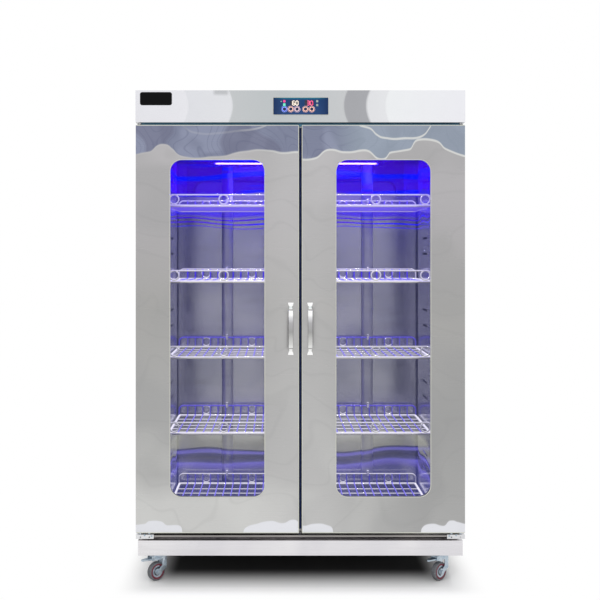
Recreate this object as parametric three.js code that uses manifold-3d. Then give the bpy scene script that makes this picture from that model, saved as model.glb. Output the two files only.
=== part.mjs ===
// Dish sterilizer cabinet with two glazed doors, five wire shelves, a germicidal lamp and four casters.
// Millimetres, +Z up. The doors face -Y. The origin is on the floor, under the middle of the whole cabinet.
import * as THREE from "three";
import { mergeVertices } from "three/addons/utils/BufferGeometryUtils.js";
import Module from "manifold-3d";

// Overall sizes, with depths measured back from the front plane of the doors
const caseWidth = 1200;
const caseDepth = 600;
const headerHeight = 116.7;
const clearance = 0.3;
const sheet = 1.2;
const overrun = 5;

// Casters
const casterHeight = 106.5;
const wheelRadius = 34;
const wheelWidth = 22;
const tyreDepth = 6;
const rimDepth = 4;
const axleRadius = 4;
const casterTrail = 12;
const casterInsetX = 78;
const casterInsetFront = 64;
const casterInsetRear = 70;
const frontCasterTurn = THREE.MathUtils.degToRad(221);
const rearCasterTurn = THREE.MathUtils.degToRad(140);
const mountingPlateLength = 84;
const mountingPlateWidth = 64;
const mountingPlateThickness = 3;
const racewayRadius = 24;
const racewayHeight = 7;
const forkThickness = 2.5;
const forkSideGap = 2;
const forkEyeRadius = 11;
const forkLegWidth = 20;
const kingpinRadius = 6;
const pedalPivotReach = 34;
const pedalPivotHeight = 84;
const pedalPinRadius = 3;
const pedalReach = 77;
const pedalThickness = 5;

// Plinth and base
const skirtHeight = 55;
const skirtInset = 9;
const skirtSetback = 2;
const neckHeight = 12;
const neckInset = 14;
const neckSetback = 46;
const basePanHeight = 6;
const basePanLip = 4;

// Doors
const doorBottomGap = 10;
const doorTopGap = 11;
const doorMeetingGap = 11;
const doorSideInset = 1;
const doorThickness = 42;
const doorSheet = 1.5;
const windowSideMargin = 125;
const windowMeetingMargin = 124.5;
const windowBottomMargin = 131;
const windowHeight = 1226.5;
const windowRadius = 42;
const glassThickness = 5;
const glassSetback = 14;
const glassCover = 14;
const windowLip = 8;
const gasketThickness = 7.4;
const gasketWidth = 16;
const gasketInset = 22;
const pivotInset = 15;
const pivotDepth = 21;
const pivotRadius = 4;
const pivotLength = 14;
const hingePlateLength = 65;
const hingePlateThickness = 3;
const screwRadius = 2.5;

// Door handles
const handleLength = 190;
const handleCentreHeight = 933;
const handleWidth = 17;
const handleBarThickness = 11;
const handleReach = 42;
const handleInset = 38;
const handleFootRadius = 13;
const handleFootThickness = 4;

// Chamber and insulated walls
const sideWall = 45;
const rearWall = 40;
const floorWall = 35.2;
const ceilingWall = 43.3;
const liner = 1;
const bodySetback = 50;
const postWidth = 44;
const postDepth = 34;

// Shelves
const shelfCount = 5;
const shelfSetback = 100;
const shelfRearGap = 30;
const topGuardDrop = 211;
const bottomGuardRise = 77.2;
const guardHeight = 39;
const guardInset = 1;
const wire = 5;
const wirePitch = 31.5;
const borderWidth = 8;
const borderHeight = 9;
const ringEndInset = 21;
const ringSides = 6;
const frontRings = 6;
const rearRings = 5;

// Air ducts and shelf standards
const ductFaceGap = 6;
const ductThickness = 53;
const ductEndGap = 27.5;
const ductSlotLength = 120;
const ductSlotHeight = 8;
const ductSlotsPerShelf = 2;
const ledgeReach = 14;
const ledgeLength = 60;
const ledgeThickness = 2;
const standardWidth = 46;
const standardDepth = 15;
const standardInset = 203;
const standardOverhang = 150;
const hookWidth = 10;
const hookThickness = 4;
const hookTip = 9;

// Lamp
const lampDrop = 32;
const lampLength = 750;
const lampRadius = 13;
const socketLength = 18;
const socketWidth = 34;
const batten = 14;

// Hot-air circuit
const plenumRearGap = 15;
const plenumDepth = 230;
const plenumHeight = 56;
const inletRadius = 55;
const fanRadius = 72;
const fanHeight = 34;
const bladeCount = 12;
const bladeThickness = 1.5;
const shaftRadius = 4;
const hubRadius = 12;
const motorRadius = 38;
const motorHeight = 46;
const heaterRingRadius = 90;
const heaterTubeRadius = 4;
const heaterGap = THREE.MathUtils.degToRad(40);

// Control strip and name plate
const panelCentreX = 1.5;
const panelWidth = 200;
const panelHeight = 62;
const panelThickness = 2.5;
const panelTopMargin = 27;
const buttonRadius = 8.5;
const buttonRim = 2.5;
const buttonPitch = 23;
const buttonGroupGap = 7.5;
const buttonFirstX = -59.5;
const buttonDrop = 42;
const buttonSides = 12;
const buttonStand = 2;
const buttonTravel = 1.5;
const buttonFlange = 1.5;
const boardSetback = 22;
const boardThickness = 1.6;
const boardHeight = 56;
const boardWidth = 188;
const standoffRadius = 4;
const plateWidth = 116;
const plateHeight = 48;
const plateThickness = 1.5;
const plateRadius = 8;
const plateInset = 16.5;
const glandRadius = 13;
const glandReach = 14;
const glandInset = 100;

// Levels and faces that follow from the sizes above
const plinthBottom = casterHeight;
const skirtTop = plinthBottom + skirtHeight;
const basePanBottom = skirtTop + neckHeight + clearance;
const basePanTop = basePanBottom + basePanHeight;
const doorBottom = basePanTop + doorBottomGap;
const doorHeight = windowBottomMargin + windowHeight + windowSideMargin;
const doorTop = doorBottom + doorHeight;
const headerBottom = doorTop + doorTopGap;
const headerTop = headerBottom + headerHeight;
const doorWidth = (caseWidth - doorMeetingGap) / 2 - doorSideInset;
const windowWidth = doorWidth - windowSideMargin - windowMeetingMargin;
const halfCase = caseWidth / 2;
const chamberHalf = halfCase - sideWall;
const chamberFloor = basePanTop + floorWall;
const chamberCeiling = headerBottom - ceilingWall;
const lampHeight = chamberCeiling - lampDrop;
const chamberRear = caseDepth - rearWall;
const ductFace = chamberHalf - ductThickness;
const ductFront = shelfSetback + wire + ductEndGap;
const ductDepth = chamberRear - standardDepth - shelfSetback - 2 * ductEndGap;
const shelfHalf = ductFace - ductFaceGap;
const shelfWidth = 2 * shelfHalf;
const shelfRear = chamberRear - shelfRearGap;
const ringPitch = (shelfWidth - 2 * ringEndInset) / (frontRings - 1);
const standardSpacing = 2 * (shelfHalf - standardInset);
const lampSetback = (shelfSetback + shelfRear) / 2;
const plenumWidth = 2 * chamberHalf;
const fanSetback = chamberRear - plenumRearGap - plenumDepth / 2;
const plateCentreX = -halfCase + plateInset + plateWidth / 2;
const plenumBottom = headerBottom + sheet + clearance;
const plenumTop = plenumBottom + plenumHeight;
const panelTop = headerTop - panelTopMargin;
const buttonHeight = panelTop - buttonDrop;
const topGuardHeight = chamberCeiling - topGuardDrop;
const shelfPitch = (topGuardHeight - chamberFloor - bottomGuardRise) / (shelfCount - 1);
const guardTop = (level) => topGuardHeight - level * shelfPitch;
const shelfLevels = Array.from({ length: shelfCount }, (_, level) => level);

const wasm = await Module();
wasm.setup();

// A closed three.js geometry as a solid that can be joined and cut
function solid(geometry) {
  const bare = new THREE.BufferGeometry();
  const source = geometry.index ? geometry.toNonIndexed() : geometry;
  bare.setAttribute("position", source.getAttribute("position"));
  const merged = mergeVertices(bare, 1e-3);
  return new wasm.Manifold(
    new wasm.Mesh({
      numProp: 3,
      vertProperties: merged.attributes.position.array,
      triVerts: new Uint32Array(merged.index.array),
    }),
  );
}

// The solid back as a three.js geometry
function geometryOf(made) {
  const mesh = made.getMesh();
  const geometry = new THREE.BufferGeometry();
  geometry.setAttribute("position", new THREE.BufferAttribute(mesh.vertProperties, 3));
  geometry.setIndex(new THREE.BufferAttribute(mesh.triVerts, 1));
  geometry.computeVertexNormals();
  return geometry;
}

const join = (geometries) => geometries.map(solid).reduce((all, next) => all.add(next));
const cut = (base, geometries) => (geometries.length ? base.subtract(join(geometries)) : base);

// Moves each vertex of a unit-sized geometry to its place, so faces that share a value lie in one plane
function placed(geometry, place) {
  const positions = geometry.getAttribute("position");
  for (let i = 0; i < positions.count; i++) {
    positions.setXYZ(i, ...place(positions.getX(i), positions.getY(i), positions.getZ(i)));
  }
  return geometry;
}

const pick = (value, [low, high]) => (value > 0 ? high : low);
const around = (centre, width) => [centre - width / 2, centre + width / 2];

// A box between opposite corners, given as low and high values along each axis
function box(xs, ys, zs) {
  return placed(new THREE.BoxGeometry(1, 1, 1), (x, y, z) => [pick(x, xs), pick(y, ys), pick(z, zs)]);
}

// A round bar between two heights, on a vertical axis
function post(radius, x, y, heights, sides = 16) {
  const rod = new THREE.CylinderGeometry(radius, radius, 1, sides);
  return placed(rod, (a, b, c) => [x + a, y - c, pick(b, heights)]);
}

// A round bar between two depths, on an axis along Y
function stud(radius, x, depths, z, sides = 16) {
  const rod = new THREE.CylinderGeometry(radius, radius, 1, sides);
  return placed(rod, (a, b, c) => [x + a, pick(b, depths), z + c]);
}

// A round bar between two places along X
function bar(radius, [x0, x1], y, z, sides = 16) {
  const rod = new THREE.CylinderGeometry(radius, radius, 1, sides);
  return placed(rod, (a, b, c) => [pick(b, [x1, x0]), y + a, z + c]);
}

const extruded = (shape, curveSegments) =>
  new THREE.ExtrudeGeometry(shape, { depth: 1, bevelEnabled: false, curveSegments });

// An outline drawn in X and Z, as thick as the two depths say
function panel(shape, [y0, y1], curveSegments = 3) {
  return placed(extruded(shape, curveSegments), (a, b, c) => [a, pick(c, [y1, y0]), b]);
}

// An outline drawn in X and Y, between two heights
function slab(shape, heights, curveSegments = 3) {
  return placed(extruded(shape, curveSegments), (a, b, c) => [a, b, pick(c, heights)]);
}

// An outline drawn in Y and Z, between two places along X
function beam(shape, [x0, x1]) {
  return placed(extruded(shape, 1), (a, b, c) => [pick(c, [x0, x1]), a, b]);
}

const outline = (points) => new THREE.Shape(points.map(([x, y]) => new THREE.Vector2(x, y)));

function roundedRect([x0, x1], [y0, y1], radius) {
  const shape = new THREE.Shape();
  shape.absarc(x1 - radius, y0 + radius, radius, -Math.PI / 2, 0);
  shape.absarc(x1 - radius, y1 - radius, radius, 0, Math.PI / 2);
  shape.absarc(x0 + radius, y1 - radius, radius, Math.PI / 2, Math.PI);
  shape.absarc(x0 + radius, y0 + radius, radius, Math.PI, (3 * Math.PI) / 2);
  return shape;
}

// A ring of flats, whose radii are those of the flats' middles
function flatRing(outer, inner, sides, x, z) {
  const corners = (radius) =>
    Array.from({ length: sides }, (_, i) => {
      const angle = ((i + 1 / 2) * 2 * Math.PI) / sides;
      const reach = radius / Math.cos(Math.PI / sides);
      return new THREE.Vector2(x + reach * Math.cos(angle), z + reach * Math.sin(angle));
    });
  const shape = new THREE.Shape(corners(outer));
  shape.holes.push(new THREE.Path(corners(inner).reverse()));
  return shape;
}

// Finishes
function finish(color, roughness, metalness) {
  return new THREE.MeshStandardMaterial({ color, roughness, metalness });
}

const brushedSteel = () => finish(0xb9b9b6, 0.32, 0.9);
const polishedLiner = () => finish(0x8f9194, 0.22, 0.9);
const chrome = () => finish(0xd9dde0, 0.12, 1);
const zinc = () => finish(0xaeb8bf, 0.3, 0.9);
const glass = () => finish(0xdfe8ec, 0.05, 0);
const rubber = (color) => finish(color, 0.75, 0);
const plastic = (color) => finish(color, 0.4, 0);
const foam = () => finish(0xd8c98e, 0.95, 0);

function part(name, shape, material) {
  const mesh = new THREE.Mesh(shape.isBufferGeometry ? shape : geometryOf(shape), material);
  mesh.name = name;
  return mesh;
}

// Outer case
function sidePanel(name) {
  const inside = -halfCase + sheet;
  const front = [bodySetback, bodySetback + sheet];
  const back = [caseDepth - 2 * sheet - clearance, caseDepth - sheet - clearance];
  const [frontFold, rearFold] = [-chamberHalf - liner, -halfCase + sideWall / 2];
  const section = outline([
    [-halfCase, front[0]],
    [frontFold, front[0]],
    [frontFold, front[1]],
    [inside, front[1]],
    [inside, back[0]],
    [rearFold, back[0]],
    [rearFold, back[1]],
    [-halfCase, back[1]],
  ]);
  return part(name, slab(section, [basePanTop + clearance, headerBottom - clearance]), brushedSteel());
}

function rearPanel() {
  const half = halfCase - sideWall / 2 - clearance;
  const [low, high] = [basePanTop + clearance, headerBottom - clearance];
  const fold = caseDepth - rearWall / 2;
  const section = outline([
    [fold, low],
    [caseDepth, low],
    [caseDepth, high],
    [fold, high],
    [fold, high - sheet],
    [caseDepth - sheet, high - sheet],
    [caseDepth - sheet, low + sheet],
    [fold, low + sheet],
  ]);
  const wings = [-1, 1].map((side) => {
    const ends = [side * (half - sheet), side * (halfCase - sheet - clearance)];
    const depths = [caseDepth - sheet, caseDepth];
    return box([Math.min(...ends), Math.max(...ends)], depths, [low + 2 * sheet, high - 2 * sheet]);
  });
  return part("rear_panel", join([beam(section, [-half, half]), ...wings]), brushedSteel());
}

function basePan() {
  const across = [-halfCase + doorSideInset, halfCase - doorSideInset];
  const deep = [basePanLip, caseDepth];
  const outer = solid(box(across, deep, [basePanBottom, basePanTop]));
  const shape = cut(outer, [
    box(
      [across[0] + sheet, across[1] - sheet],
      [deep[0] + sheet, deep[1] - sheet],
      [basePanBottom - overrun, basePanTop - sheet],
    ),
  ]);
  return part("base_pan", shape, brushedSteel());
}

function plinth() {
  const tray = (inset, setback, z, grow) =>
    box(
      [-halfCase + inset + grow, halfCase - inset - grow],
      [setback + grow, caseDepth - inset - grow],
      z,
    );
  const neckTop = basePanTop - sheet - clearance;
  const outer = join([
    tray(skirtInset, skirtSetback, [plinthBottom, skirtTop], 0),
    tray(neckInset, neckSetback, [skirtTop - sheet, neckTop], 0),
  ]);
  const shape = cut(outer, [
    tray(skirtInset, skirtSetback, [plinthBottom + sheet, skirtTop - sheet], sheet),
    tray(neckInset, neckSetback, [plinthBottom + sheet, neckTop + overrun], sheet),
  ]);
  return part("plinth", shape, brushedSteel());
}

// Inner tub of the chamber, open to the doors
function ductSlotAcross(side) {
  const inner = side * (ductFace + ledgeReach);
  const outer = side * (chamberHalf - ledgeReach);
  return [Math.min(inner, outer), Math.max(inner, outer)];
}

function airHoles(z, grow) {
  const widen = ([low, high]) => [low - grow, high + grow];
  const slots = [-1, 1].map((side) =>
    box(widen(ductSlotAcross(side)), widen(around(fanSetback, plenumDepth / 2)), z),
  );
  return [post(inletRadius + grow, 0, fanSetback, z, 20), ...slots];
}

function chamberLiner() {
  const outer = solid(
    box(
      [-chamberHalf - liner, chamberHalf + liner],
      [bodySetback + sheet + clearance, chamberRear + liner],
      [chamberFloor - liner, chamberCeiling + liner],
    ),
  );
  const inner = box(
    [-chamberHalf, chamberHalf],
    [bodySetback - overrun, chamberRear],
    [chamberFloor, chamberCeiling],
  );
  const shape = cut(outer, [inner, ...airHoles([chamberCeiling - overrun, chamberCeiling + overrun], 0)]);
  return part("chamber_liner", shape, polishedLiner());
}

function insulation() {
  const outerHalf = halfCase - sheet - clearance;
  const front = bodySetback + sheet + clearance;
  const linerHalf = chamberHalf + liner + clearance;
  const outer = solid(
    box(
      [-outerHalf, outerHalf],
      [front, caseDepth - rearWall / 2 - clearance],
      [basePanTop + clearance, headerBottom - clearance],
    ),
  );
  const room = box(
    [-linerHalf, linerHalf],
    [front - overrun, chamberRear + liner + clearance],
    [chamberFloor - liner - clearance, chamberCeiling + liner + clearance],
  );
  const shape = cut(outer, [room, ...airHoles([chamberCeiling, headerTop], clearance)]);
  return part("insulation_jacket", shape, foam());
}

function centrePost() {
  const heights = [chamberFloor + clearance, chamberCeiling - clearance];
  const outer = solid(box(around(0, postWidth), [bodySetback, bodySetback + postDepth], heights));
  const shape = cut(outer, [
    box(
      around(0, postWidth - 2 * sheet),
      [bodySetback + sheet, bodySetback + postDepth + overrun],
      [heights[0] - overrun, heights[1] + overrun],
    ),
  ]);
  return part("centre_post", shape, brushedSteel());
}

// Header
function headerCase() {
  const front = sheet + clearance;
  const outer = solid(box([-halfCase, halfCase], [front, caseDepth], [headerBottom, headerTop]));
  const hollow = box(
    [-halfCase + sheet, halfCase - sheet],
    [front - overrun, caseDepth - sheet],
    [headerBottom + sheet, headerTop - sheet],
  );
  const gland = stud(
    glandRadius - glandRadius / 4 + clearance,
    halfCase - glandInset,
    [caseDepth - overrun, caseDepth + overrun],
    headerBottom + headerHeight / 2,
  );
  const holes = airHoles([headerBottom - overrun, headerBottom + overrun], clearance);
  const pinHeights = [headerBottom - pivotLength - doorTopGap / 2, headerBottom + sheet];
  const pins = [-1, 1].map((side) =>
    post(pivotRadius, side * (halfCase - pivotInset), pivotDepth, pinHeights),
  );
  const shape = cut(outer, [hollow, gland, ...holes]).add(join(pins));
  return part("header_case", shape, brushedSteel());
}

const buttonPlaces = [0, 1, 2, 3, 4].map(
  (i) => panelCentreX + buttonFirstX + i * buttonPitch + (i > 2 ? buttonGroupGap : 0),
);

function headerFascia() {
  const outer = solid(box([-halfCase, halfCase], [0, sheet], [headerBottom, headerTop]));
  const hole = box(
    around(panelCentreX, boardWidth),
    [-overrun, overrun],
    around(panelTop - panelHeight / 2, boardHeight),
  );
  return part("header_fascia", cut(outer, [hole]), brushedSteel());
}

function controlPanel() {
  const face = [-clearance - panelThickness, -clearance];
  const shape = roundedRect(
    around(panelCentreX, panelWidth),
    [panelTop - panelHeight, panelTop],
    panelThickness,
  );
  const rims = buttonPlaces.map((x) =>
    stud(buttonRadius + buttonRim, x, [face[0] - buttonStand / 2, face[1]], buttonHeight, buttonSides),
  );
  const holes = buttonPlaces.map((x) =>
    stud(buttonRadius + clearance, x, [face[0] - overrun, overrun], buttonHeight, buttonSides),
  );
  return part("control_panel", cut(join([panel(shape, face), ...rims]), holes), plastic(0x1c325f));
}

function button(name, x, color) {
  const back = clearance + buttonFlange;
  const front = -clearance - panelThickness - buttonStand;
  const shape = join([
    stud(buttonRadius, x, [front, back - buttonFlange / 2], buttonHeight, buttonSides),
    stud(buttonRadius + buttonRim / 2, x, [0, back], buttonHeight, buttonSides),
  ]);
  return part(name, shape, plastic(color));
}

function controlBoard() {
  const middle = panelTop - panelHeight / 2;
  const corners = [-1, 1].flatMap((side) =>
    [-1, 1].map((end) => [
      panelCentreX + side * (boardWidth / 2 - 2 * standoffRadius),
      middle + end * (boardHeight / 2 - 2 * standoffRadius),
    ]),
  );
  const stemEnd = clearance + buttonFlange + buttonTravel + clearance;
  const switches = buttonPlaces.map((x) =>
    stud(buttonRadius / 2, x, [stemEnd, boardSetback + boardThickness / 2], buttonHeight, 10),
  );
  const shape = join([
    box(
      around(panelCentreX, boardWidth),
      [boardSetback, boardSetback + boardThickness],
      around(middle, boardHeight),
    ),
    ...corners.map(([x, z]) => stud(standoffRadius, x, [0, boardSetback + boardThickness / 2], z, 8)),
    ...switches,
  ]);
  return part("control_board", shape, plastic(0x2f6b45));
}

function namePlate() {
  const top = headerTop - panelTopMargin / 4;
  const shape = roundedRect(around(plateCentreX, plateWidth), [top - plateHeight, top], plateRadius);
  return part("name_plate", panel(shape, [-clearance - plateThickness, -clearance]), plastic(0x0b0b0d));
}

function cableGland() {
  const x = halfCase - glandInset;
  const z = headerBottom + headerHeight / 2;
  const neck = glandRadius - glandRadius / 4;
  const inner = caseDepth - sheet - clearance;
  const shape = join([
    stud(neck, x, [inner - glandReach, caseDepth + glandReach], z, 16),
    stud(glandRadius, x, [caseDepth + clearance, caseDepth + glandReach / 2], z, 6),
    stud(glandRadius, x, [inner - glandReach / 2, inner], z, 6),
  ]);
  const bore = stud(neck / 2, x, [inner - glandReach - overrun, caseDepth + glandReach + overrun], z, 12);
  return part("cable_gland", cut(shape, [bore]), plastic(0x1a1a1c));
}

// Lamp and its fitting
function lamp() {
  const half = lampLength / 2;
  const capLength = 2 * lampRadius;
  const shape = join([
    bar(lampRadius, [-half, half], lampSetback, lampHeight, 14),
    bar(shaftRadius, [-half - capLength / 4, half + capLength / 4], lampSetback, lampHeight, 8),
  ]);
  return part("uv_lamp", shape, finish(0xdfe6ff, 0.2, 0));
}

function lampFitting() {
  const near = lampLength / 2 + clearance;
  const far = near + socketLength;
  const top = chamberCeiling - clearance;
  const low = lampHeight - lampRadius;
  const section = outline([
    [-far, low],
    [-near, low],
    [-near, top - batten],
    [near, top - batten],
    [near, low],
    [far, low],
    [far, top],
    [-far, top],
  ]);
  const reach = near + lampRadius / 2 + clearance;
  const pins = bar(shaftRadius + clearance, [-reach, reach], lampSetback, lampHeight, 8);
  const body = solid(panel(section, around(lampSetback, socketWidth)));
  return part("lamp_fitting", cut(body, [pins]), plastic(0xe6e6e2));
}

// Hot-air circuit
function fanHousing() {
  const outer = solid(
    box(around(0, plenumWidth), around(fanSetback, plenumDepth), [plenumBottom, plenumTop]),
  );
  const hollow = box(
    around(0, plenumWidth - 2 * sheet),
    around(fanSetback, plenumDepth - 2 * sheet),
    [plenumBottom + sheet, plenumTop - sheet],
  );
  const lid = [plenumTop - overrun, plenumTop + overrun];
  const terminals = heaterEnds().map(([x, y]) => post(heaterTubeRadius + clearance, x, y, lid, 12));
  const floor = [plenumBottom - overrun, plenumBottom + overrun];
  const shape = cut(outer, [
    hollow,
    ...airHoles(floor, 0),
    post(hubRadius + clearance, 0, fanSetback, lid),
    ...terminals,
  ]);
  return part("fan_housing", shape, zinc());
}

function fanWheel() {
  const bottom = plenumBottom + sheet + (plenumHeight - 2 * sheet - fanHeight) / 2;
  const top = bottom + fanHeight;
  const inner = 2 * fanRadius / 3;
  const blades = Array.from({ length: bladeCount }, (_, i) => {
    const reach = [inner, fanRadius - bladeThickness];
    const blade = box(reach, around(0, bladeThickness), [bottom, top - sheet / 2]);
    return blade.rotateZ((i * 2 * Math.PI) / bladeCount).translate(0, fanSetback, 0);
  });
  const shape = join([
    post(fanRadius, 0, fanSetback, [top - sheet, top], 24),
    post(hubRadius, 0, fanSetback, [bottom + fanHeight / 2, top - sheet / 2], 12),
    post(shaftRadius, 0, fanSetback, [top - fanHeight / 4, plenumTop + clearance + motorHeight / 2], 12),
    ...blades,
  ]);
  return part("fan_wheel", shape, zinc());
}

function fanMotor() {
  const heights = [plenumTop + clearance, plenumTop + clearance + motorHeight];
  const body = join([
    post(motorRadius, 0, fanSetback, heights, 24),
    post(motorRadius + hubRadius, 0, fanSetback, [heights[0], heights[0] + 2 * sheet], 24),
  ]);
  const boreHeights = [heights[0] - overrun, heights[0] + motorHeight / 2 + clearance];
  const bore = post(shaftRadius + clearance, 0, fanSetback, boreHeights, 16);
  return part("fan_motor", cut(body, [bore]), finish(0x55585c, 0.5, 0.8));
}

function heaterEnds() {
  return [-1, 1].map((side) => {
    const angle = Math.PI / 2 + (side * heaterGap) / 2;
    return [heaterRingRadius * Math.cos(angle), fanSetback + heaterRingRadius * Math.sin(angle)];
  });
}

function heater() {
  const level = (plenumBottom + plenumTop) / 2;
  const start = Math.PI / 2 + heaterGap / 2;
  const sweep = 2 * Math.PI - heaterGap;
  const steps = 18;
  const points = Array.from({ length: steps + 1 }, (_, i) => {
    const angle = start + (i * sweep) / steps;
    return new THREE.Vector3(
      heaterRingRadius * Math.cos(angle),
      fanSetback + heaterRingRadius * Math.sin(angle),
      level,
    );
  });
  const section = new THREE.Shape().absarc(0, 0, heaterTubeRadius, 0, 2 * Math.PI);
  const path = new THREE.CatmullRomCurve3(points);
  const ring = new THREE.ExtrudeGeometry(section, { steps, extrudePath: path, curveSegments: 4 });
  const legs = heaterEnds().map(([x, y]) =>
    post(heaterTubeRadius, x, y, [level - heaterTubeRadius, plenumTop + 2 * heaterTubeRadius], 12),
  );
  return part("ring_heater", join([ring, ...legs]), finish(0x6d6a66, 0.45, 0.9));
}

function airDuct(name) {
  const heights = [chamberFloor + clearance, chamberCeiling - clearance];
  const depths = [ductFront, ductFront + ductDepth];
  const outer = solid(box([-chamberHalf + clearance, -ductFace], depths, heights));
  const hollow = box(
    [-chamberHalf - overrun, -ductFace - sheet],
    [depths[0] + sheet, depths[1] - sheet],
    [heights[0] + sheet, heights[1] + overrun],
  );
  const middle = (depths[0] + depths[1]) / 2;
  const slots = shelfLevels.flatMap((level) =>
    Array.from({ length: ductSlotsPerShelf }, (_, i) => {
      const z = guardTop(level) + ((i + 1) * (shelfPitch - guardHeight)) / (ductSlotsPerShelf + 2);
      const across = [-ductFace - overrun, -ductFace + overrun];
      return box(across, around(middle, ductSlotLength), around(z, ductSlotHeight));
    }),
  );
  const ledges = shelfLevels.map((level) => {
    const top = guardTop(level) - guardHeight - borderHeight - clearance;
    return box(
      [-ductFace - sheet / 2, -ductFace + ledgeReach],
      [depths[0] + 2 * sheet, depths[0] + ledgeLength],
      [top - ledgeThickness, top],
    );
  });
  return part(name, cut(outer, [hollow, ...slots]).add(join(ledges)), polishedLiner());
}

// Upright on the rear wall, with a hook under the rear rail of each shelf
function shelfStandard(name, x) {
  const top = guardTop(0) + standardOverhang;
  const bottom = guardTop(shelfCount - 1) - guardHeight;
  const back = chamberRear - clearance;
  const face = back - standardDepth;
  const outer = solid(box(around(x, standardWidth), [face, back], [bottom, top]));
  const hollow = box(
    around(x, standardWidth - 2 * sheet),
    [face + sheet, back + overrun],
    [bottom - overrun, top + overrun],
  );
  const tip = shelfRear - guardInset - wire - clearance;
  const hooks = shelfLevels.map((level) => {
    const seat = guardTop(level) - wire - clearance;
    const section = outline([
      [tip - hookThickness, seat - hookThickness],
      [face + sheet / 2, seat - hookThickness],
      [face + sheet / 2, seat],
      [tip, seat],
      [tip, guardTop(level) + hookTip],
      [tip - hookThickness, guardTop(level) + hookTip],
    ]);
    return beam(section, around(x, hookWidth));
  });
  return part(name, cut(outer, [hollow]).add(join(hooks)), polishedLiner());
}

// Wire shelf: a grid in a border, with a guard rail in front on spacer rings and one behind on posts
function shelfGuard(depth, ringCount, top, isFront) {
  const [low, high] = [top - guardHeight - wire / 2, top - wire / 4];
  const middle = (high + low) / 2;
  const outer = (high - low) / 2;
  const first = (-(ringCount - 1) * ringPitch) / 2;
  const depths = around(depth, wire - guardInset);
  const spacers = Array.from({ length: ringCount }, (_, i) => {
    const x = first + i * ringPitch;
    if (!isFront) return box(around(x, wire), depths, [low, high]);
    return panel(flatRing(outer, outer - wire, ringSides, x, middle), depths);
  });
  return [box([-shelfHalf, shelfHalf], around(depth, wire), [top - wire, top]), ...spacers];
}

function shelf(level) {
  const top = guardTop(level);
  const gridTop = top - guardHeight;
  const front = shelfSetback;
  const inner = shelfWidth - 2 * borderWidth;
  const gapCount = Math.round(inner / wirePitch);
  const pitch = inner / gapCount;
  const gaps = Array.from({ length: gapCount }, (_, i) => {
    const start = -inner / 2 + i * pitch;
    return box(
      [start + (i ? wire / 2 : 0), start + pitch - (i < gapCount - 1 ? wire / 2 : 0)],
      [front + borderWidth, shelfRear - borderWidth],
      [gridTop - borderHeight - overrun, gridTop + overrun],
    );
  });
  const plate = solid(box([-shelfHalf, shelfHalf], [front, shelfRear], [gridTop - borderHeight, gridTop]));
  const guards = join([
    ...shelfGuard(front + guardInset + wire / 2, frontRings, top, true),
    ...shelfGuard(shelfRear - guardInset - wire / 2, rearRings, top, false),
  ]);
  return part(`shelf_${level + 1}`, cut(plate, gaps).add(guards), chrome());
}

// Doors, drawn for the left side with X from the hinge edge and Z from the door's bottom edge
function windowShape(grow) {
  return roundedRect(
    [windowSideMargin - grow, windowSideMargin + windowWidth + grow],
    [windowBottomMargin - grow, windowBottomMargin + windowHeight + grow],
    windowRadius + grow,
  );
}

function doorFrame(name) {
  const linerFace = doorThickness - sheet - clearance;
  const shell = solid(box([0, doorWidth], [0, linerFace], [0, doorHeight]));
  const hollow = box(
    [doorSheet, doorWidth - doorSheet],
    [doorSheet, doorThickness],
    [doorSheet, doorHeight - doorSheet],
  );
  const collar = panel(windowShape(doorSheet), [doorSheet / 2, glassSetback - clearance]);
  const opening = panel(windowShape(0), [-overrun, doorThickness]);
  const pivotX = pivotInset - doorSideInset;
  const pivots = [0, doorHeight].map((z) =>
    post(pivotRadius + clearance, pivotX, pivotDepth, [z - 2 * doorSheet, z + 2 * doorSheet]),
  );
  const shape = cut(cut(shell, [hollow]).add(solid(collar)), [opening, ...pivots]);
  return part(name, shape, brushedSteel());
}

function doorLiner(name) {
  const back = [doorThickness - sheet, doorThickness];
  const seat = glassSetback + glassThickness + clearance;
  const shape = join([
    box([0, doorWidth], back, [0, doorHeight]),
    panel(windowShape(windowLip), [seat, doorThickness - sheet / 2]),
  ]);
  const opening = panel(windowShape(windowLip - sheet), [glassSetback, doorThickness + overrun]);
  return part(name, cut(shape, [opening]), polishedLiner());
}

function doorGlass(name) {
  const depths = [glassSetback, glassSetback + glassThickness];
  return part(name, panel(windowShape(glassCover), depths), glass());
}

function doorGasket(name) {
  const depths = [doorThickness + clearance, doorThickness + clearance + gasketThickness];
  const ring = (inset, y) =>
    box([inset, doorWidth - inset], y, [inset, doorHeight - inset]);
  const shape = cut(solid(ring(gasketInset, depths)), [
    ring(gasketInset + gasketWidth, [depths[0] - overrun, depths[1] + overrun]),
  ]);
  return part(name, shape, rubber(0x3a3c40));
}

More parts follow.
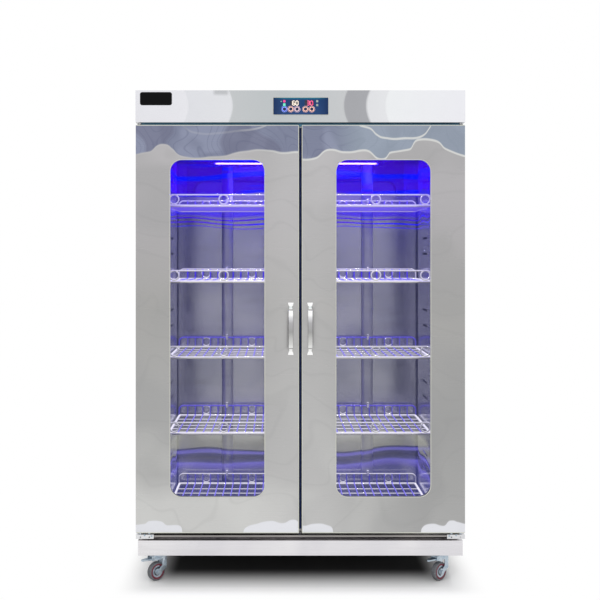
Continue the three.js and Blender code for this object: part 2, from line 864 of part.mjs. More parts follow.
function doorHandle(name) {
  const x = doorWidth - handleInset + handleWidth / 2;
  const middle = handleCentreHeight - doorBottom;
  const half = handleLength / 2 - handleFootRadius;
  const out = handleReach - handleBarThickness / 2;
  const archShares = [
    [1, 0],
    [0.97, 0.45],
    [0.8, 0.85],
    [0.45, 1],
    [0, 1],
  ];
  const upper = archShares.map(([along, reach]) => [
    along * half,
    -handleFootThickness / 2 - reach * (out - handleFootThickness / 2),
  ]);
  const lower = upper.slice(0, -1).reverse().map(([along, y]) => [-along, y]);
  const points = [...upper, ...lower].map(([along, y]) => new THREE.Vector3(x, y, middle + along));
  const section = new THREE.Shape().absellipse(0, 0, handleWidth / 2, handleBarThickness / 2, 0, 2 * Math.PI);
  const bow = new THREE.ExtrudeGeometry(section, {
    steps: 14,
    extrudePath: new THREE.CatmullRomCurve3(points),
    curveSegments: 4,
  });
  const feet = [-1, 1].map((end) =>
    stud(handleFootRadius, x, [-clearance - handleFootThickness, -clearance], middle + end * half, 16),
  );
  const behind = box(
    [x - handleLength, x + handleLength],
    [-clearance, handleReach],
    [middle - handleLength, middle + handleLength],
  );
  return part(name, cut(join([bow, ...feet]), [behind]), chrome());
}

function door(side) {
  const group = new THREE.Group();
  group.add(
    doorFrame(`${side}_door_frame`),
    doorLiner(`${side}_door_liner`),
    doorGlass(`${side}_door_glass`),
    doorGasket(`${side}_door_gasket`),
    doorHandle(`${side}_door_handle`),
  );
  const mirror = side === "left" ? 1 : -1;
  group.scale.x = mirror;
  group.position.set(-mirror * (halfCase - doorSideInset), 0, doorBottom);
  return group;
}

// Bottom hinge: a front plate on the base pan's edge, a tab under the door and the pivot pin
function hingeBracket(side) {
  const mirror = side === "left" ? -1 : 1;
  const outer = mirror * (halfCase - doorSideInset - clearance);
  const inner = outer - mirror * hingePlateLength;
  const across = [Math.min(outer, inner), Math.max(outer, inner)];
  const seat = basePanTop + clearance;
  const top = seat + hingePlateThickness;
  const bottom = basePanBottom - neckHeight / 2;
  const back = basePanLip - clearance;
  const front = back - hingePlateThickness;
  const section = outline([
    [front, bottom],
    [back, bottom],
    [back, seat],
    [pivotDepth + pivotInset, seat],
    [pivotDepth + pivotInset, top],
    [front, top],
  ]);
  const pinHeights = [top - sheet, doorBottom + pivotLength];
  const pin = post(pivotRadius, mirror * (halfCase - pivotInset), pivotDepth, pinHeights);
  const shape = join([beam(section, across), pin]);
  const middle = (across[0] + across[1]) / 2;
  const holeDepths = [front - overrun, basePanLip];
  const holes = [-1, 1].map((end) =>
    stud(screwRadius, middle + (end * hingePlateLength) / 4, holeDepths, basePanBottom, 10),
  );
  return part(`${side}_hinge_bracket`, cut(shape, holes), zinc());
}

// Casters, drawn with the wheel rolling along X and its pedal on the +X side
function casterPlate(name) {
  const top = casterHeight - clearance;
  const plateBottom = top - mountingPlateThickness;
  const shape = join([
    box(around(0, mountingPlateLength), around(0, mountingPlateWidth), [plateBottom, top]),
    post(racewayRadius, 0, 0, [plateBottom - racewayHeight, plateBottom + mountingPlateThickness / 2], 24),
  ]);
  const boreHeights = [plateBottom - racewayHeight - overrun, top - mountingPlateThickness / 2];
  const bore = post(kingpinRadius + clearance, 0, 0, boreHeights, 16);
  return part(name, cut(shape, [bore]), zinc());
}

const forkTop = casterHeight - clearance - mountingPlateThickness - racewayHeight - clearance;

function casterFork(name, withPedal) {
  const inner = wheelWidth / 2 + forkSideGap;
  const outer = inner + forkThickness;
  const eye = forkEyeRadius;
  const shoulder = forkTop - forkThickness;
  const reach = withPedal ? pedalPivotReach + 2 * pedalPinRadius : casterTrail + forkEyeRadius;
  const legEdge = forkLegWidth - racewayRadius;
  const bandBottom = pedalPivotHeight - 2 * pedalPinRadius;
  const leg = outline([
    [-racewayRadius, forkTop],
    [-racewayRadius, wheelRadius + eye],
    [casterTrail - eye, wheelRadius - eye / 2],
    [casterTrail - eye / 2, wheelRadius - eye],
    [casterTrail + eye / 2, wheelRadius - eye],
    [casterTrail + eye, wheelRadius],
    [casterTrail + eye / 2, wheelRadius + eye],
    [casterTrail - eye / 2, wheelRadius + eye],
    [legEdge, wheelRadius + 2 * eye],
    [legEdge, bandBottom],
    [reach, bandBottom],
    [reach, forkTop],
  ]);
  const [crownStart, crownEnd] = [forkThickness - racewayRadius, racewayRadius - forkThickness];
  const shape = join([
    panel(leg, [-outer, -inner]),
    panel(leg, [inner, outer]),
    box([crownStart, crownEnd], around(0, 2 * inner + forkThickness), [shoulder, forkTop - sheet / 2]),
    stud(axleRadius, casterTrail, [-outer - forkThickness, outer + forkThickness], wheelRadius, 12),
    post(kingpinRadius, 0, 0, [shoulder + sheet / 2, casterHeight - mountingPlateThickness], 12),
  ]);
  const holeReach = [-outer - overrun, outer + overrun];
  const pedalHole = withPedal
    ? [stud(pedalPinRadius + clearance, pedalPivotReach, holeReach, pedalPivotHeight, 12)]
    : [];
  return part(name, cut(shape, pedalHole), zinc());
}

// The tread is a ring of flats, with their middles at the wheel's true radius
function casterWheel(name) {
  const sides = 20;
  const outer = wheelRadius / Math.cos(Math.PI / sides);
  const rim = wheelRadius - tyreDepth;
  const hub = rim - rimDepth;
  const half = wheelWidth / 2;
  const bore = axleRadius + 2 * clearance;
  const profile = [
    [bore, -half - forkSideGap + clearance],
    [2 * bore, -half - forkSideGap + clearance],
    [hub, -half + forkSideGap],
    [rim, -half],
    [outer, -half + forkSideGap],
    [outer, half - forkSideGap],
    [rim, half],
    [hub, half - forkSideGap],
    [2 * bore, half + forkSideGap - clearance],
    [bore, half + forkSideGap - clearance],
    [bore, -half - forkSideGap + clearance],
  ].map(([r, y]) => new THREE.Vector2(r, y));
  const geometry = new THREE.LatheGeometry(profile, sides, Math.PI / sides);
  geometry.translate(casterTrail, 0, wheelRadius);
  const mesh = part(name, geometry, rubber(0x7c2230));
  return mesh;
}

function brakePedal(name) {
  const inner = wheelWidth / 2 + forkSideGap - clearance;
  const outer = wheelWidth / 2 + forkSideGap + forkThickness;
  const low = pedalPivotHeight - pedalThickness / 2;
  const tongue = outline([
    [pedalPivotReach - pedalPinRadius, -inner],
    [pedalPivotReach + 3 * pedalPinRadius, -inner],
    [pedalReach - pedalPinRadius, -inner / 2],
    [pedalReach, 0],
    [pedalReach - pedalPinRadius, inner / 2],
    [pedalPivotReach + 3 * pedalPinRadius, inner],
    [pedalPivotReach - pedalPinRadius, inner],
  ]);
  const shape = join([
    slab(tongue, [low, low + pedalThickness]),
    stud(pedalPinRadius, pedalPivotReach, [-outer, outer], pedalPivotHeight, 12),
  ]);
  return part(name, shape, zinc());
}

function caster(name, x, y, turn, withPedal) {
  const swivel = new THREE.Group();
  swivel.add(casterFork(`${name}_caster_fork`, withPedal), casterWheel(`${name}_caster_wheel`));
  if (withPedal) swivel.add(brakePedal(`${name}_brake_pedal`));
  swivel.rotation.z = turn;
  const group = new THREE.Group();
  group.add(casterPlate(`${name}_caster_plate`), swivel);
  group.position.set(x, y, 0);
  return group;
}

const cabinet = new THREE.Group();
cabinet.position.y = -(caseDepth + glandReach - handleReach) / 2;

const rightSide = new THREE.Group();
rightSide.scale.x = -1;
rightSide.add(sidePanel("right_side_panel"), airDuct("right_air_duct"));

const buttonFinishes = [
  ["power_button", 0x3f6fd8],
  ["lamp_button", 0x9fb6dc],
  ["heat_button", 0x9fb6dc],
  ["timer_button", 0xc9b6cc],
  ["start_button", 0xe08a86],
];

const casterX = halfCase - casterInsetX;
const casterRearY = caseDepth - casterInsetRear;

cabinet.add(
  sidePanel("left_side_panel"),
  airDuct("left_air_duct"),
  rightSide,
  rearPanel(),
  basePan(),
  plinth(),
  chamberLiner(),
  insulation(),
  centrePost(),
  headerCase(),
  headerFascia(),
  controlPanel(),
  ...buttonFinishes.map(([name, color], i) => button(name, buttonPlaces[i], color)),
  controlBoard(),
  namePlate(),
  cableGland(),
  lamp(),
  lampFitting(),
  fanHousing(),
  fanWheel(),
  fanMotor(),
  heater(),
  shelfStandard("left_shelf_standard", -standardSpacing / 2),
  shelfStandard("right_shelf_standard", standardSpacing / 2),
  ...shelfLevels.map(shelf),
  door("left"),
  door("right"),
  hingeBracket("left"),
  hingeBracket("right"),
  caster("front_left", -casterX, casterInsetFront, frontCasterTurn, true),
  caster("front_right", casterX, casterInsetFront, frontCasterTurn, true),
  caster("rear_left", -casterX, casterRearY, rearCasterTurn, false),
  caster("rear_right", casterX, casterRearY, rearCasterTurn, false),
);

export default cabinet;
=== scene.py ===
"""Dish sterilizer cabinet: stainless case, two glazed doors, wire shelves under a violet lamp, four
casters."""

import math

import bmesh
import bpy
from mathutils import Matrix, Vector


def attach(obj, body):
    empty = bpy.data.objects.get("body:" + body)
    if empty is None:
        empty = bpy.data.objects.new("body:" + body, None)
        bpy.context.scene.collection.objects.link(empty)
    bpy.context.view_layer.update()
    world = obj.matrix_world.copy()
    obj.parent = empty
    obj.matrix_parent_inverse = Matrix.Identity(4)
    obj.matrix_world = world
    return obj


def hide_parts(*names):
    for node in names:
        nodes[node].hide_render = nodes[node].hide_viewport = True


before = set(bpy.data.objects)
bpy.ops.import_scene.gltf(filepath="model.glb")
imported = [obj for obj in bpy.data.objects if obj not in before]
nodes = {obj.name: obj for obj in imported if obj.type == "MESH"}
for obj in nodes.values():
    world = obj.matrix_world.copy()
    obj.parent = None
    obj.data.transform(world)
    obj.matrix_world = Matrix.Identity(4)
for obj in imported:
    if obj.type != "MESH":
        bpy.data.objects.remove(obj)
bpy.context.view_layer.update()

MM = 0.001
DOOR_FRONT = -0.286
FULL_TURN = 2 * math.pi
SIDES = {"left": -1, "right": 1}


def at(x, depth, z):
    """A place in metres from millimetres: across, back from the doors' front plane, and up."""
    return Vector((x * MM, DOOR_FRONT + depth * MM, z * MM))


# --- Camera: level, a little left of the middle and at the height of the second shelf ---
CAMERA_PLACE = (-0.085, -3.891, 1.197)
CAMERA_LENS = 59.46
CAMERA_SHIFT = (0.0383, -0.0733)


def camera():
    data = bpy.data.cameras.new("camera")
    data.lens = CAMERA_LENS
    data.sensor_width = 36
    data.shift_x, data.shift_y = CAMERA_SHIFT
    data.clip_end = 60
    made = bpy.data.objects.new("camera", data)
    made.location = CAMERA_PLACE
    made.rotation_euler = (math.radians(90), 0, 0)
    bpy.context.scene.collection.objects.link(made)
    bpy.context.scene.camera = made


camera()
bpy.context.scene.view_settings.view_transform = "Standard"


# --- Nodes and colours ---
def linear(code):
    """An sRGB hex colour as the linear one that a shader takes."""
    parts = [int(code[i : i + 2], 16) / 255 for i in (0, 2, 4)]
    return [c / 12.92 if c <= 0.04045 else ((c + 0.055) / 1.055) ** 2.4 for c in parts] + [1.0]


def feed(node, *values, **named):
    """Gives a node's sockets, in order or by name, another node's output, a value or a hex colour."""
    sockets = list(zip((s for s in node.inputs if s.enabled), values))
    sockets += [(node.inputs[name.replace("_", " ")], value) for name, value in named.items()]
    for socket, value in sockets:
        if isinstance(value, bpy.types.NodeSocket):
            node.id_data.links.new(value, socket)
        else:
            socket.default_value = linear(value) if isinstance(value, str) else value


def adder(tree, place=None):
    """The function that adds a node to a tree. A kind in capitals is an operation of the Math node, and Mix
    mixes colours. Settings have small names and sockets have capitals. A Vector socket with nothing of its
    own takes the place. It gives the first output, the one named, or all of them for output=None."""

    def add(kind, *values, output="", stops=(), curve=(), **named):
        made = tree.nodes.new("ShaderNode" + ("Math" if kind.isupper() else kind))
        if kind.isupper():
            made.operation = kind
        elif kind == "Mix":
            made.data_type = "RGBA"
        for name in [name for name in named if name[0].islower()]:
            setattr(made, name, named.pop(name))
        feed(made, *values, **named)
        if place and "Vector" in made.inputs and not made.inputs["Vector"].is_linked:
            feed(made, Vector=place)
        if stops:
            while len(made.color_ramp.elements) < len(stops):
                made.color_ramp.elements.new(1)
            for element, (spot, colour) in zip(made.color_ramp.elements, stops):
                element.position = spot
                element.color = linear(colour)
        if curve:
            points = made.mapping.curves[0].points
            while len(points) < len(curve):
                points.new(0.5, 0.5)
            for point, spot in zip(points, curve):
                point.location = spot
            made.mapping.update()
        if output is None:
            return made.outputs
        return made.outputs[output] if output else next(s for s in made.outputs if s.enabled)

    return add


def surface(name, colour, metallic, roughness, **sockets):
    """A material, what adds nodes to it, and its shader. Patterns lie on the object in metres."""
    made = bpy.data.materials.new(name)
    made.use_nodes = True
    shader = made.node_tree.nodes["Principled BSDF"]
    feed(shader, Base_Color=colour, Metallic=metallic, Roughness=roughness, **sockets)
    place = adder(made.node_tree)("TexCoord", output="Object")
    return made, adder(made.node_tree, place), shader


def relief(add, shader, heights):
    """Bump from (height output, depth in metres) pairs, one after another."""
    normal = {}
    for height, depth in heights:
        normal = {"Normal": add("Bump", Height=height, Distance=depth, Strength=1.0, **normal)}
    feed(shader, **normal)


EASED = {"interpolation_type": "SMOOTHSTEP"}


def per_metre(millimetres):
    """Noise scale for a feature of that size."""
    return 1 / (millimetres * MM)


def grain(add, across, along, turn=(0, 0, 0)):
    """Streaks as wide and as long as given in millimetres. The long way is X unless turned."""
    scale = (per_metre(along), per_metre(across), per_metre(across))
    mapped = add("Mapping", Rotation=turn, Scale=scale)
    return add("TexNoise", Vector=mapped, Scale=1.0, Detail=3.0)


# --- Finishes ---
def brushed_stainless(name, tone, shade, along="X", wave=0.25):
    """Cold-rolled stainless sheet, brushed one way: fine streaks and a shallow oil-canned wave that bends
    reflections."""
    made, add, shader = surface(name, tone, 1.0, 0.3)
    turn = (0, 0, 0) if along == "X" else (0, math.radians(90), 0)
    # The real brush lines are about 0.3 mm apart; drawn 3 mm apart so that they show at this size
    streak = grain(add, across=3, along=260, turn=turn)
    cloud = add("TexNoise", Scale=per_metre(210), Distortion=0.6)
    colour = add("Mix", add("MapRange", cloud, 0.35, 0.65), tone, shade)
    faint = add("MapRange", streak, 0.3, 0.7, 0.0, 0.1)
    feed(shader, Base_Color=add("Mix", faint, colour, "9C9D9C"))
    feed(shader, Roughness=add("MapRange", streak, 0.3, 0.7, 0.26, 0.34))
    relief(add, shader, [(cloud, wave * MM * 4), (streak, 0.008 * MM)])
    return made


HEADER_MIDDLE = 1.742


def header_stainless():
    """The header's polished stainless sheet, with its reflection of the room painted into its colour: near
    white at both ends, and a greyer middle with one darker band. The room's edges curve in the painted
    reflection, as the sheet is slightly dished."""
    made, add, shader = surface("header_stainless", "E4E4E8", 1.0, 0.2)
    across, _, up = add("SeparateXYZ", output=None)
    bend = add("TexNoise", Scale=per_metre(160), Detail=0.0)
    bow = add("MULTIPLY", add("POWER", add("SUBTRACT", up, HEADER_MIDDLE), 2.0), 4.5)
    bow = add("MULTIPLY", bow, add("MapRange", across, -0.1, 0.1, 1.0, -1.0))
    warped = add("ADD", add("MULTIPLY_ADD", bend, 0.008, across), bow)
    # Painted reflection: the room's bright and dark zones across the sheet, in soft-edged bands
    tone = add(
        "ValToRGB", add("MapRange", warped, -0.6, 0.6),
        stops=(
            (0.0, "E6E6EB"), (0.159, "E8E8ED"), (0.163, "E0E1E6"), (0.296, "E2E3E7"), (0.301, "C5C8CA"),
            (0.45, "BFC4C6"), (0.632, "C9CBCD"), (0.637, "A8A9AD"), (0.7, "AAABAF"), (0.705, "E2E3E6"),
            (0.758, "E5E6E9"), (0.763, "EEF0F2"), (1.0, "EDEDF2"),
        ),
    )
    # A grey patch hangs from the top edge
    hang = add("MapRange", up, 1.776, 1.792, **EASED)
    beside = add("MapRange", add("ABSOLUTE", add("ADD", across, 0.289)), 0.034, 0.018, **EASED)
    grey_patch = add("MULTIPLY", add("MULTIPLY", hang, beside), 0.8)
    feed(shader, Base_Color=add("Mix", grey_patch, tone, "B9BBBE"))
    haze = add("TexNoise", Scale=per_metre(45), Detail=3.0)
    feed(shader, Roughness=add("MapRange", haze, 0.3, 0.7, 0.16, 0.26))
    relief(add, shader, [(bend, 0.3 * MM)])
    return made


# Places across and up, in millimetres, that the lower edge of the painted bluish reflection at the top of the
# doors passes through
BLUE_REFLECTION_EDGE = (
    (-600, 1564), (-547, 1575), (-500, 1601), (-467, 1586), (-430, 1561), (-365, 1554), (-310, 1557),
    (-238, 1571), (-165, 1583), (-110, 1581), (-56, 1572), (-5, 1575), (6, 1550), (53, 1554), (111, 1583),
    (162, 1574), (235, 1582), (300, 1550), (326, 1572), (399, 1588), (432, 1621), (493, 1615), (526, 1590),
    (600, 1561),
)
# Places across and up, in millimetres, that the pale painted highlight lines pass through
HIGHLIGHT_LINE_PLACES = (
    (-600, 1700), (-460, 1700), (-423, 1667), (-372, 1645), (-219, 1652), (-139, 1667), (-60, 1700),
    (180, 1700), (217, 1670), (253, 1659), (279, 1637), (308, 1626), (399, 1625), (428, 1628), (471, 1663),
    (500, 1700), (600, 1700),
)
# Places across and up, in millimetres, that the top of the pale painted reflections along the bottom edge
# passes through
PALE_REFLECTION_TOP = (
    (-600, 216), (-565, 220), (-548, 231), (-510, 232), (-482, 216), (-450, 216), (-431, 205), (-420, 150),
    (-230, 150), (-205, 200), (-160, 222), (-110, 233), (-65, 226), (-30, 236), (-5, 222), (5, 215),
    (50, 224), (100, 218), (118, 205), (130, 150), (418, 150), (440, 205), (480, 222), (520, 216), (545, 234),
    (570, 228), (600, 222),
)


def line_height(add, across, places, low, high):
    """Height in metres of a line through the places given, between two heights in millimetres."""
    curve = [((x + 600) / 1200, (z - low) / (high - low)) for x, z in places]
    share = add("FloatCurve", Value=add("MapRange", across, -0.6, 0.6), curve=curve)
    return add("MULTIPLY_ADD", share, (high - low) * MM, low * MM)


def door_stainless():
    """Door skin of satin stainless with its reflections painted into its colour: grey sheet, a painted bluish
    reflection at the top with pale painted highlight lines round it, and pale painted reflections in clouds
    along the bottom edge."""
    made, add, shader = surface("door_stainless", "B8B7B6", 1.0, 0.3)
    across, _, up = add("SeparateXYZ", output=None)
    cloud = add("TexNoise", Scale=per_metre(260), Detail=1.0, Distortion=0.6)
    # Painted reflection in the grey: paler low down, darker soft patches, paler by the meeting edge and low
    # on the left door, darker low on the right door
    painted_sheet_tone = add(
        "ValToRGB", add("MapRange", up, 0.19, 1.67),
        stops=(
            (0.0, "CBCBC9"), (0.12, "BEBEBC"), (0.3, "AEAEAD"), (0.55, "AAA9A7"), (0.78, "B3B1B3"),
            (1.0, "BCBABC"),
        ),
    )
    aside = add("ABSOLUTE", across)
    right_low_reflection = add("MULTIPLY", add("MapRange", across, 0.1, 0.45), add("MapRange", up, 0.95, 0.6))
    left_low_reflection = add("MULTIPLY", add("MapRange", across, -0.05, -0.2), add("MapRange", up, 0.4, 0.3))
    # Faint painted reflection contours in the satin sheet, 60 mm apart
    contour = add("MULTIPLY", add("MULTIPLY_ADD", cloud, 0.5, up), 1 / 0.06)
    contour = add("PINGPONG", contour, 1.0)
    for share, tone in (
        (add("MapRange", cloud, 0.4, 0.6, 0.0, 0.45, **EASED), "A3A3A3"),
        (add("MapRange", aside, 0.3, 0.06, 0.0, 0.35), "CDCCCC"),
        (add("MULTIPLY", right_low_reflection, 0.65), "9A9A9A"), (add("MULTIPLY", left_low_reflection, 0.7), "D2D2D0"),
        (add("MapRange", contour, 0.8, 1.0, 0.0, 0.1, **EASED), "909191"),
    ):
        painted_sheet_tone = add("Mix", share, painted_sheet_tone, tone)
    ripple = add("MULTIPLY_ADD", add("TexNoise", Scale=per_metre(60), Detail=0.0), 0.01, -0.005)
    height = add("ADD", up, ripple)
    above = add("SUBTRACT", height, line_height(add, across, BLUE_REFLECTION_EDGE, 1500, 1700))
    blue = add("MapRange", above, -0.001, 0.003, 0.0, 0.95, **EASED)
    depth = add("TexNoise", Scale=per_metre(120), Detail=1.0, Distortion=0.8)
    # The painted bluish reflection has darker painted patches ringed by contours
    reflection_patch = add("TexNoise", Scale=per_metre(150), Detail=0.0, Distortion=0.4)
    rings = add("PINGPONG", add("MULTIPLY", reflection_patch, 26.0), 1.0)
    blue_reflection_tone = "7E849C"
    for share, tone in (
        (add("MapRange", depth, 0.4, 0.6, **EASED), "8E94AC"),
        (add("MapRange", reflection_patch, 0.5, 0.56, 0.0, 0.6, **EASED), "6E7088"),
        (add("MapRange", rings, 0.75, 1.0, 0.0, 0.35, **EASED), "5E6480"),
        (add("MapRange", across, 0.08, 0.24, 0.0, 0.6, **EASED), "A0ADB9"),
    ):
        blue_reflection_tone = add("Mix", share, blue_reflection_tone, tone)
    toned = add("Mix", blue, painted_sheet_tone, blue_reflection_tone)
    # Painted pale highlight lines are 5 mm wide, and stronger on the right door
    crease = add("SUBTRACT", height, line_height(add, across, HIGHLIGHT_LINE_PLACES, 1500, 1700))
    highlight_lines = [add("MapRange", add("ABSOLUTE", line), 0.0055, 0.002, **EASED) for line in (above, crease)]
    fold = add("MAXIMUM", *highlight_lines)
    strength = add("MapRange", across, -0.25, 0.05, 0.12, 0.85)
    highlighted = add("Mix", add("MULTIPLY", fold, strength), toned, "DCDDDA")
    # Pale painted reflections lie along the bottom edge too, in clouds up to 45 mm high
    over = add("SUBTRACT", line_height(add, across, PALE_REFLECTION_TOP, 150, 250), height)
    cloudy = add("MapRange", over, -0.004, 0.002, **EASED)
    feed(shader, Base_Color=add("Mix", cloudy, highlighted, "E3E4E9"))
    satin = grain(add, across=3, along=260)
    feed(shader, Roughness=add("MapRange", satin, 0.3, 0.7, 0.27, 0.33))
    relief(add, shader, [(cloud, 0.5 * MM)])
    return made


def lamp_wash(add):
    """Height on the chamber's sheet in metres, waved by 20 mm as its polish bends the lamp's light."""
    _, _, up = add("SeparateXYZ", output=None)
    wave = add("TexNoise", Scale=per_metre(240), Detail=0.0)
    return add("MULTIPLY_ADD", wave, 0.06, add("SUBTRACT", up, 0.03))


# Painted reflection low on the rear sheet: the violet wires of the bottom shelf, between dark gaps
LOW_BANDS = (
    (0.0, "282858"), (0.36, "2E2E64"), (0.45, "443C8C"), (0.56, "5850B0"), (0.62, "28285A"), (0.72, "16162E"),
    (0.82, "22224E"), (0.87, "5A54A8"), (0.92, "5048A0"), (0.95, "202048"), (1.0, "101028"),
)


def polished_liner(name="polished_liner", dulled=1.0, flooded=0.15):
    """Polished stainless liner with the lamp's light painted into its colour and glow: a soft mirror that
    dims to grey, flooded violet above the top shelf by the lamp, lavender just below it, with the lamp's
    light rippled under that."""
    made, add, shader = surface(name, "9C9DA2", 0.85, 0.18, Emission_Strength=1.0)
    across, _, up = add("SeparateXYZ", output=None)
    level = lamp_wash(add)
    flood = add("MapRange", level, 1.448, 1.456, **EASED)
    cloud = add("TexNoise", Scale=per_metre(300), Detail=1.0, Distortion=0.6)
    grey = add("Mix", add("MapRange", cloud, 0.35, 0.65), "96979C", "B2B2B4")
    tinted = add("Mix", add("MapRange", level, 0.5, 1.32, 0.0, 0.45), grey, "7C7AB4")
    lavender = add("Mix", add("MapRange", level, 1.36, 1.375), tinted, "6E5AE0")
    lavender = add("Mix", add("MapRange", level, 1.395, 1.41), lavender, "9084C8")
    # Ripples 18 mm apart under the lamp's flood
    ripple = add("SINE", add("MULTIPLY", level, FULL_TURN / 0.018))
    zone = add("MULTIPLY", add("MapRange", level, 1.315, 1.322), add("MapRange", level, 1.375, 1.368))
    lines = add("MULTIPLY", add("MapRange", ripple, 0.2, 0.8, **EASED), zone)
    rippled = add("Mix", add("MULTIPLY", lines, 0.9), lavender, "3A0AC8")
    feed(shader, Base_Color=add("Mix", flood, rippled, "20129C"))
    # A painted pure blue band of the lamp's light, 16 mm high, crosses the violet flood, and broad painted
    # blue patches lie under it
    band = add("MapRange", add("ABSOLUTE", add("SUBTRACT", level, 1.535)), 0.016, 0.006, **EASED)
    patch = add("MapRange", grain(add, across=28, along=500), 0.5, 0.62, **EASED)
    hue = add("Mix", add("MAXIMUM", band, patch), "3E00C4", "000CFA")
    # The far corners by the ceiling stay dim
    corner = add(
        "MULTIPLY", add("MapRange", add("ABSOLUTE", across), 0.4, 0.5), add("MapRange", up, 1.57, 1.6)
    )
    hue = add("Mix", add("MULTIPLY", corner, 0.8), hue, "201070")
    glow = add("MULTIPLY", add("MapRange", level, 1.345, 1.37), add("MapRange", level, 1.39, 1.41, 0.3, 0.1))
    light = add("MAXIMUM", add("MULTIPLY", flood, 0.92), add("MAXIMUM", glow, add("MULTIPLY", lines, 0.7)))
    # Violet light from the lamp and the lit room gathers low in the chamber
    soft = add("Mix", add("MapRange", up, 1.0, 0.5), "201F34", "2E2D44")
    # The bright room shows in the sheet just under the fourth shelf, and a dark violet step ends it
    room = add("MULTIPLY", add("MapRange", level, 0.385, 0.389), add("MapRange", level, 0.48, 0.45))
    soft = add("Mix", room, soft, "77776E")
    bands = add("ValToRGB", add("MapRange", level, 0.25, 0.39), stops=LOW_BANDS)
    low = add("MapRange", level, 0.389, 0.385)
    soft = add("Mix", low, soft, bands)
    # The glow is painted light: the lamp's flood and ripples, and the room's and the bottom shelf's
    # reflections
    feed(shader, Emission_Color=add("Mix", light, soft, hue))
    haze = add("TexNoise", Scale=per_metre(70), Detail=3.0)
    rough = add("MapRange", haze, 0.3, 0.7, 0.14, 0.22)
    feed(shader, Roughness=add("MULTIPLY", rough, add("MapRange", flood, 0.0, 1.0, dulled, flooded)))
    relief(add, shader, [(cloud, 0.45 * MM)])
    return made


def shelf_chrome(name, tone, sheen, glare):
    """Chrome-plated shelf wire with light painted into its colour and glow: a painted highlight along its
    top, a painted violet reflection of the lamp-lit liner at its sides, and painted shade underneath, with
    fine plating pits."""
    made, add, shader = surface(name, tone, 1.0, 0.14, Emission_Strength=glare)
    _, _, facing = add("SeparateXYZ", add("NewGeometry", output="Normal"), output=None)
    lit = add("ValToRGB", add("MapRange", facing, -1.0, 1.0), stops=sheen)
    lavender = add("Mix", add("MapRange", lamp_wash(add), 1.02, 1.38, 0.0, 0.45, **EASED), lit, "8A70FF")
    # Low in the chamber less of the lamp's light is left, and sides fade to the tone of the sheet behind
    _, _, up = add("SeparateXYZ", output=None)
    beside = add("MapRange", add("ABSOLUTE", facing), 0.6, 0.3)
    faded = add("MULTIPLY", add("MULTIPLY", beside, add("MapRange", up, 1.1, 0.95)), 0.75)
    feed(shader, Emission_Color=add("Mix", faded, lavender, "55547C"))
    # Plating pits are about 0.1 mm; drawn at 1.5 mm
    pits = add("TexNoise", Scale=per_metre(1.5))
    feed(shader, Roughness=add("MapRange", pits, 0.3, 0.7, 0.1, 0.22))
    relief(add, shader, [(pits, 0.02 * MM)])
    return made


def polished_chrome():
    """Cast zinc handle, polished and chrome plated: mirror bright, faintly wavy, with thumb smears."""
    made, add, shader = surface("polished_chrome", "E8E9EA", 1.0, 0.08)
    _, _, up = add("SeparateXYZ", output=None)
    # Painted reflections: the grip's flat face mirrors the dim room in front of it, and its ends turn to the
    # bright ceiling and floor
    tone = add(
        "ValToRGB", add("MapRange", up, 0.838, 1.028),
        stops=(
            (0.0, "FFFFFF"), (0.11, "F4F4F3"), (0.22, "D2D2D0"), (0.35, "BCBCBA"), (0.45, "A2A2A1"),
            (0.62, "B2B1B3"), (0.72, "DCDCDE"), (0.77, "FFFFFF"), (0.88, "FFFFFF"), (0.91, "DDE6E6"),
            (0.94, "FFFFFF"),
        ),
    )
    feed(shader, Base_Color=tone)
    smear = add("TexNoise", Scale=per_metre(14), Detail=3.0, Distortion=1.5)
    wave = add("TexNoise", Scale=per_metre(25), Detail=1.0)
    feed(shader, Roughness=add("MapRange", smear, 0.35, 0.7, 0.05, 0.16))
    relief(add, shader, [(wave, 0.12 * MM)])
    return made


def zinc_plate():
    """Pressed steel with bright zinc plate: bluish, with a spangled tint and a soft shine."""
    made, add, shader = surface("zinc_plate", "B7C2CB", 1.0, 0.34)
    spangle = add("TexVoronoi", Scale=per_metre(5), output="Color")
    tint = add("TexNoise", Scale=per_metre(18))
    fleck = add("MULTIPLY", add("SeparateXYZ", spangle, output=None)[0], 0.35)
    base = add("Mix", add("MapRange", tint, 0.35, 0.65), "B9C6D0", "9FB0C0")
    feed(shader, Base_Color=add("Mix", fleck, base, "D5DADB"))
    feed(shader, Roughness=add("MapRange", tint, 0.3, 0.7, 0.26, 0.42))
    relief(add, shader, [(tint, 0.1 * MM)])
    return made


def toughened_glass():
    """Clear toughened pane: nearly unseen face on, a green-grey cast and a few wipe marks in the gloss."""
    made, add, shader = surface(
        "toughened_glass", "25302F", 0.0, 0.03, IOR=1.52, Alpha=0.1, Specular_IOR_Level=0.15
    )
    wipe = grain(add, across=30, along=180, turn=(0, math.radians(35), 0))
    feed(shader, Roughness=add("MapRange", wipe, 0.4, 0.75, 0.02, 0.09))
    feed(shader, Alpha=add("MapRange", wipe, 0.45, 0.8, 0.08, 0.13))
    return made


def quartz_tube():
    """Clear quartz of the lamp's tube: nearly unseen, with a violet cast from the vapour inside."""
    made, add, shader = surface("quartz_tube", "3A20C8", 0.0, 0.05, IOR=1.46, Alpha=0.12)
    haze = add("TexNoise", Scale=per_metre(20))
    feed(shader, Alpha=add("MapRange", haze, 0.3, 0.7, 0.08, 0.16))
    return made


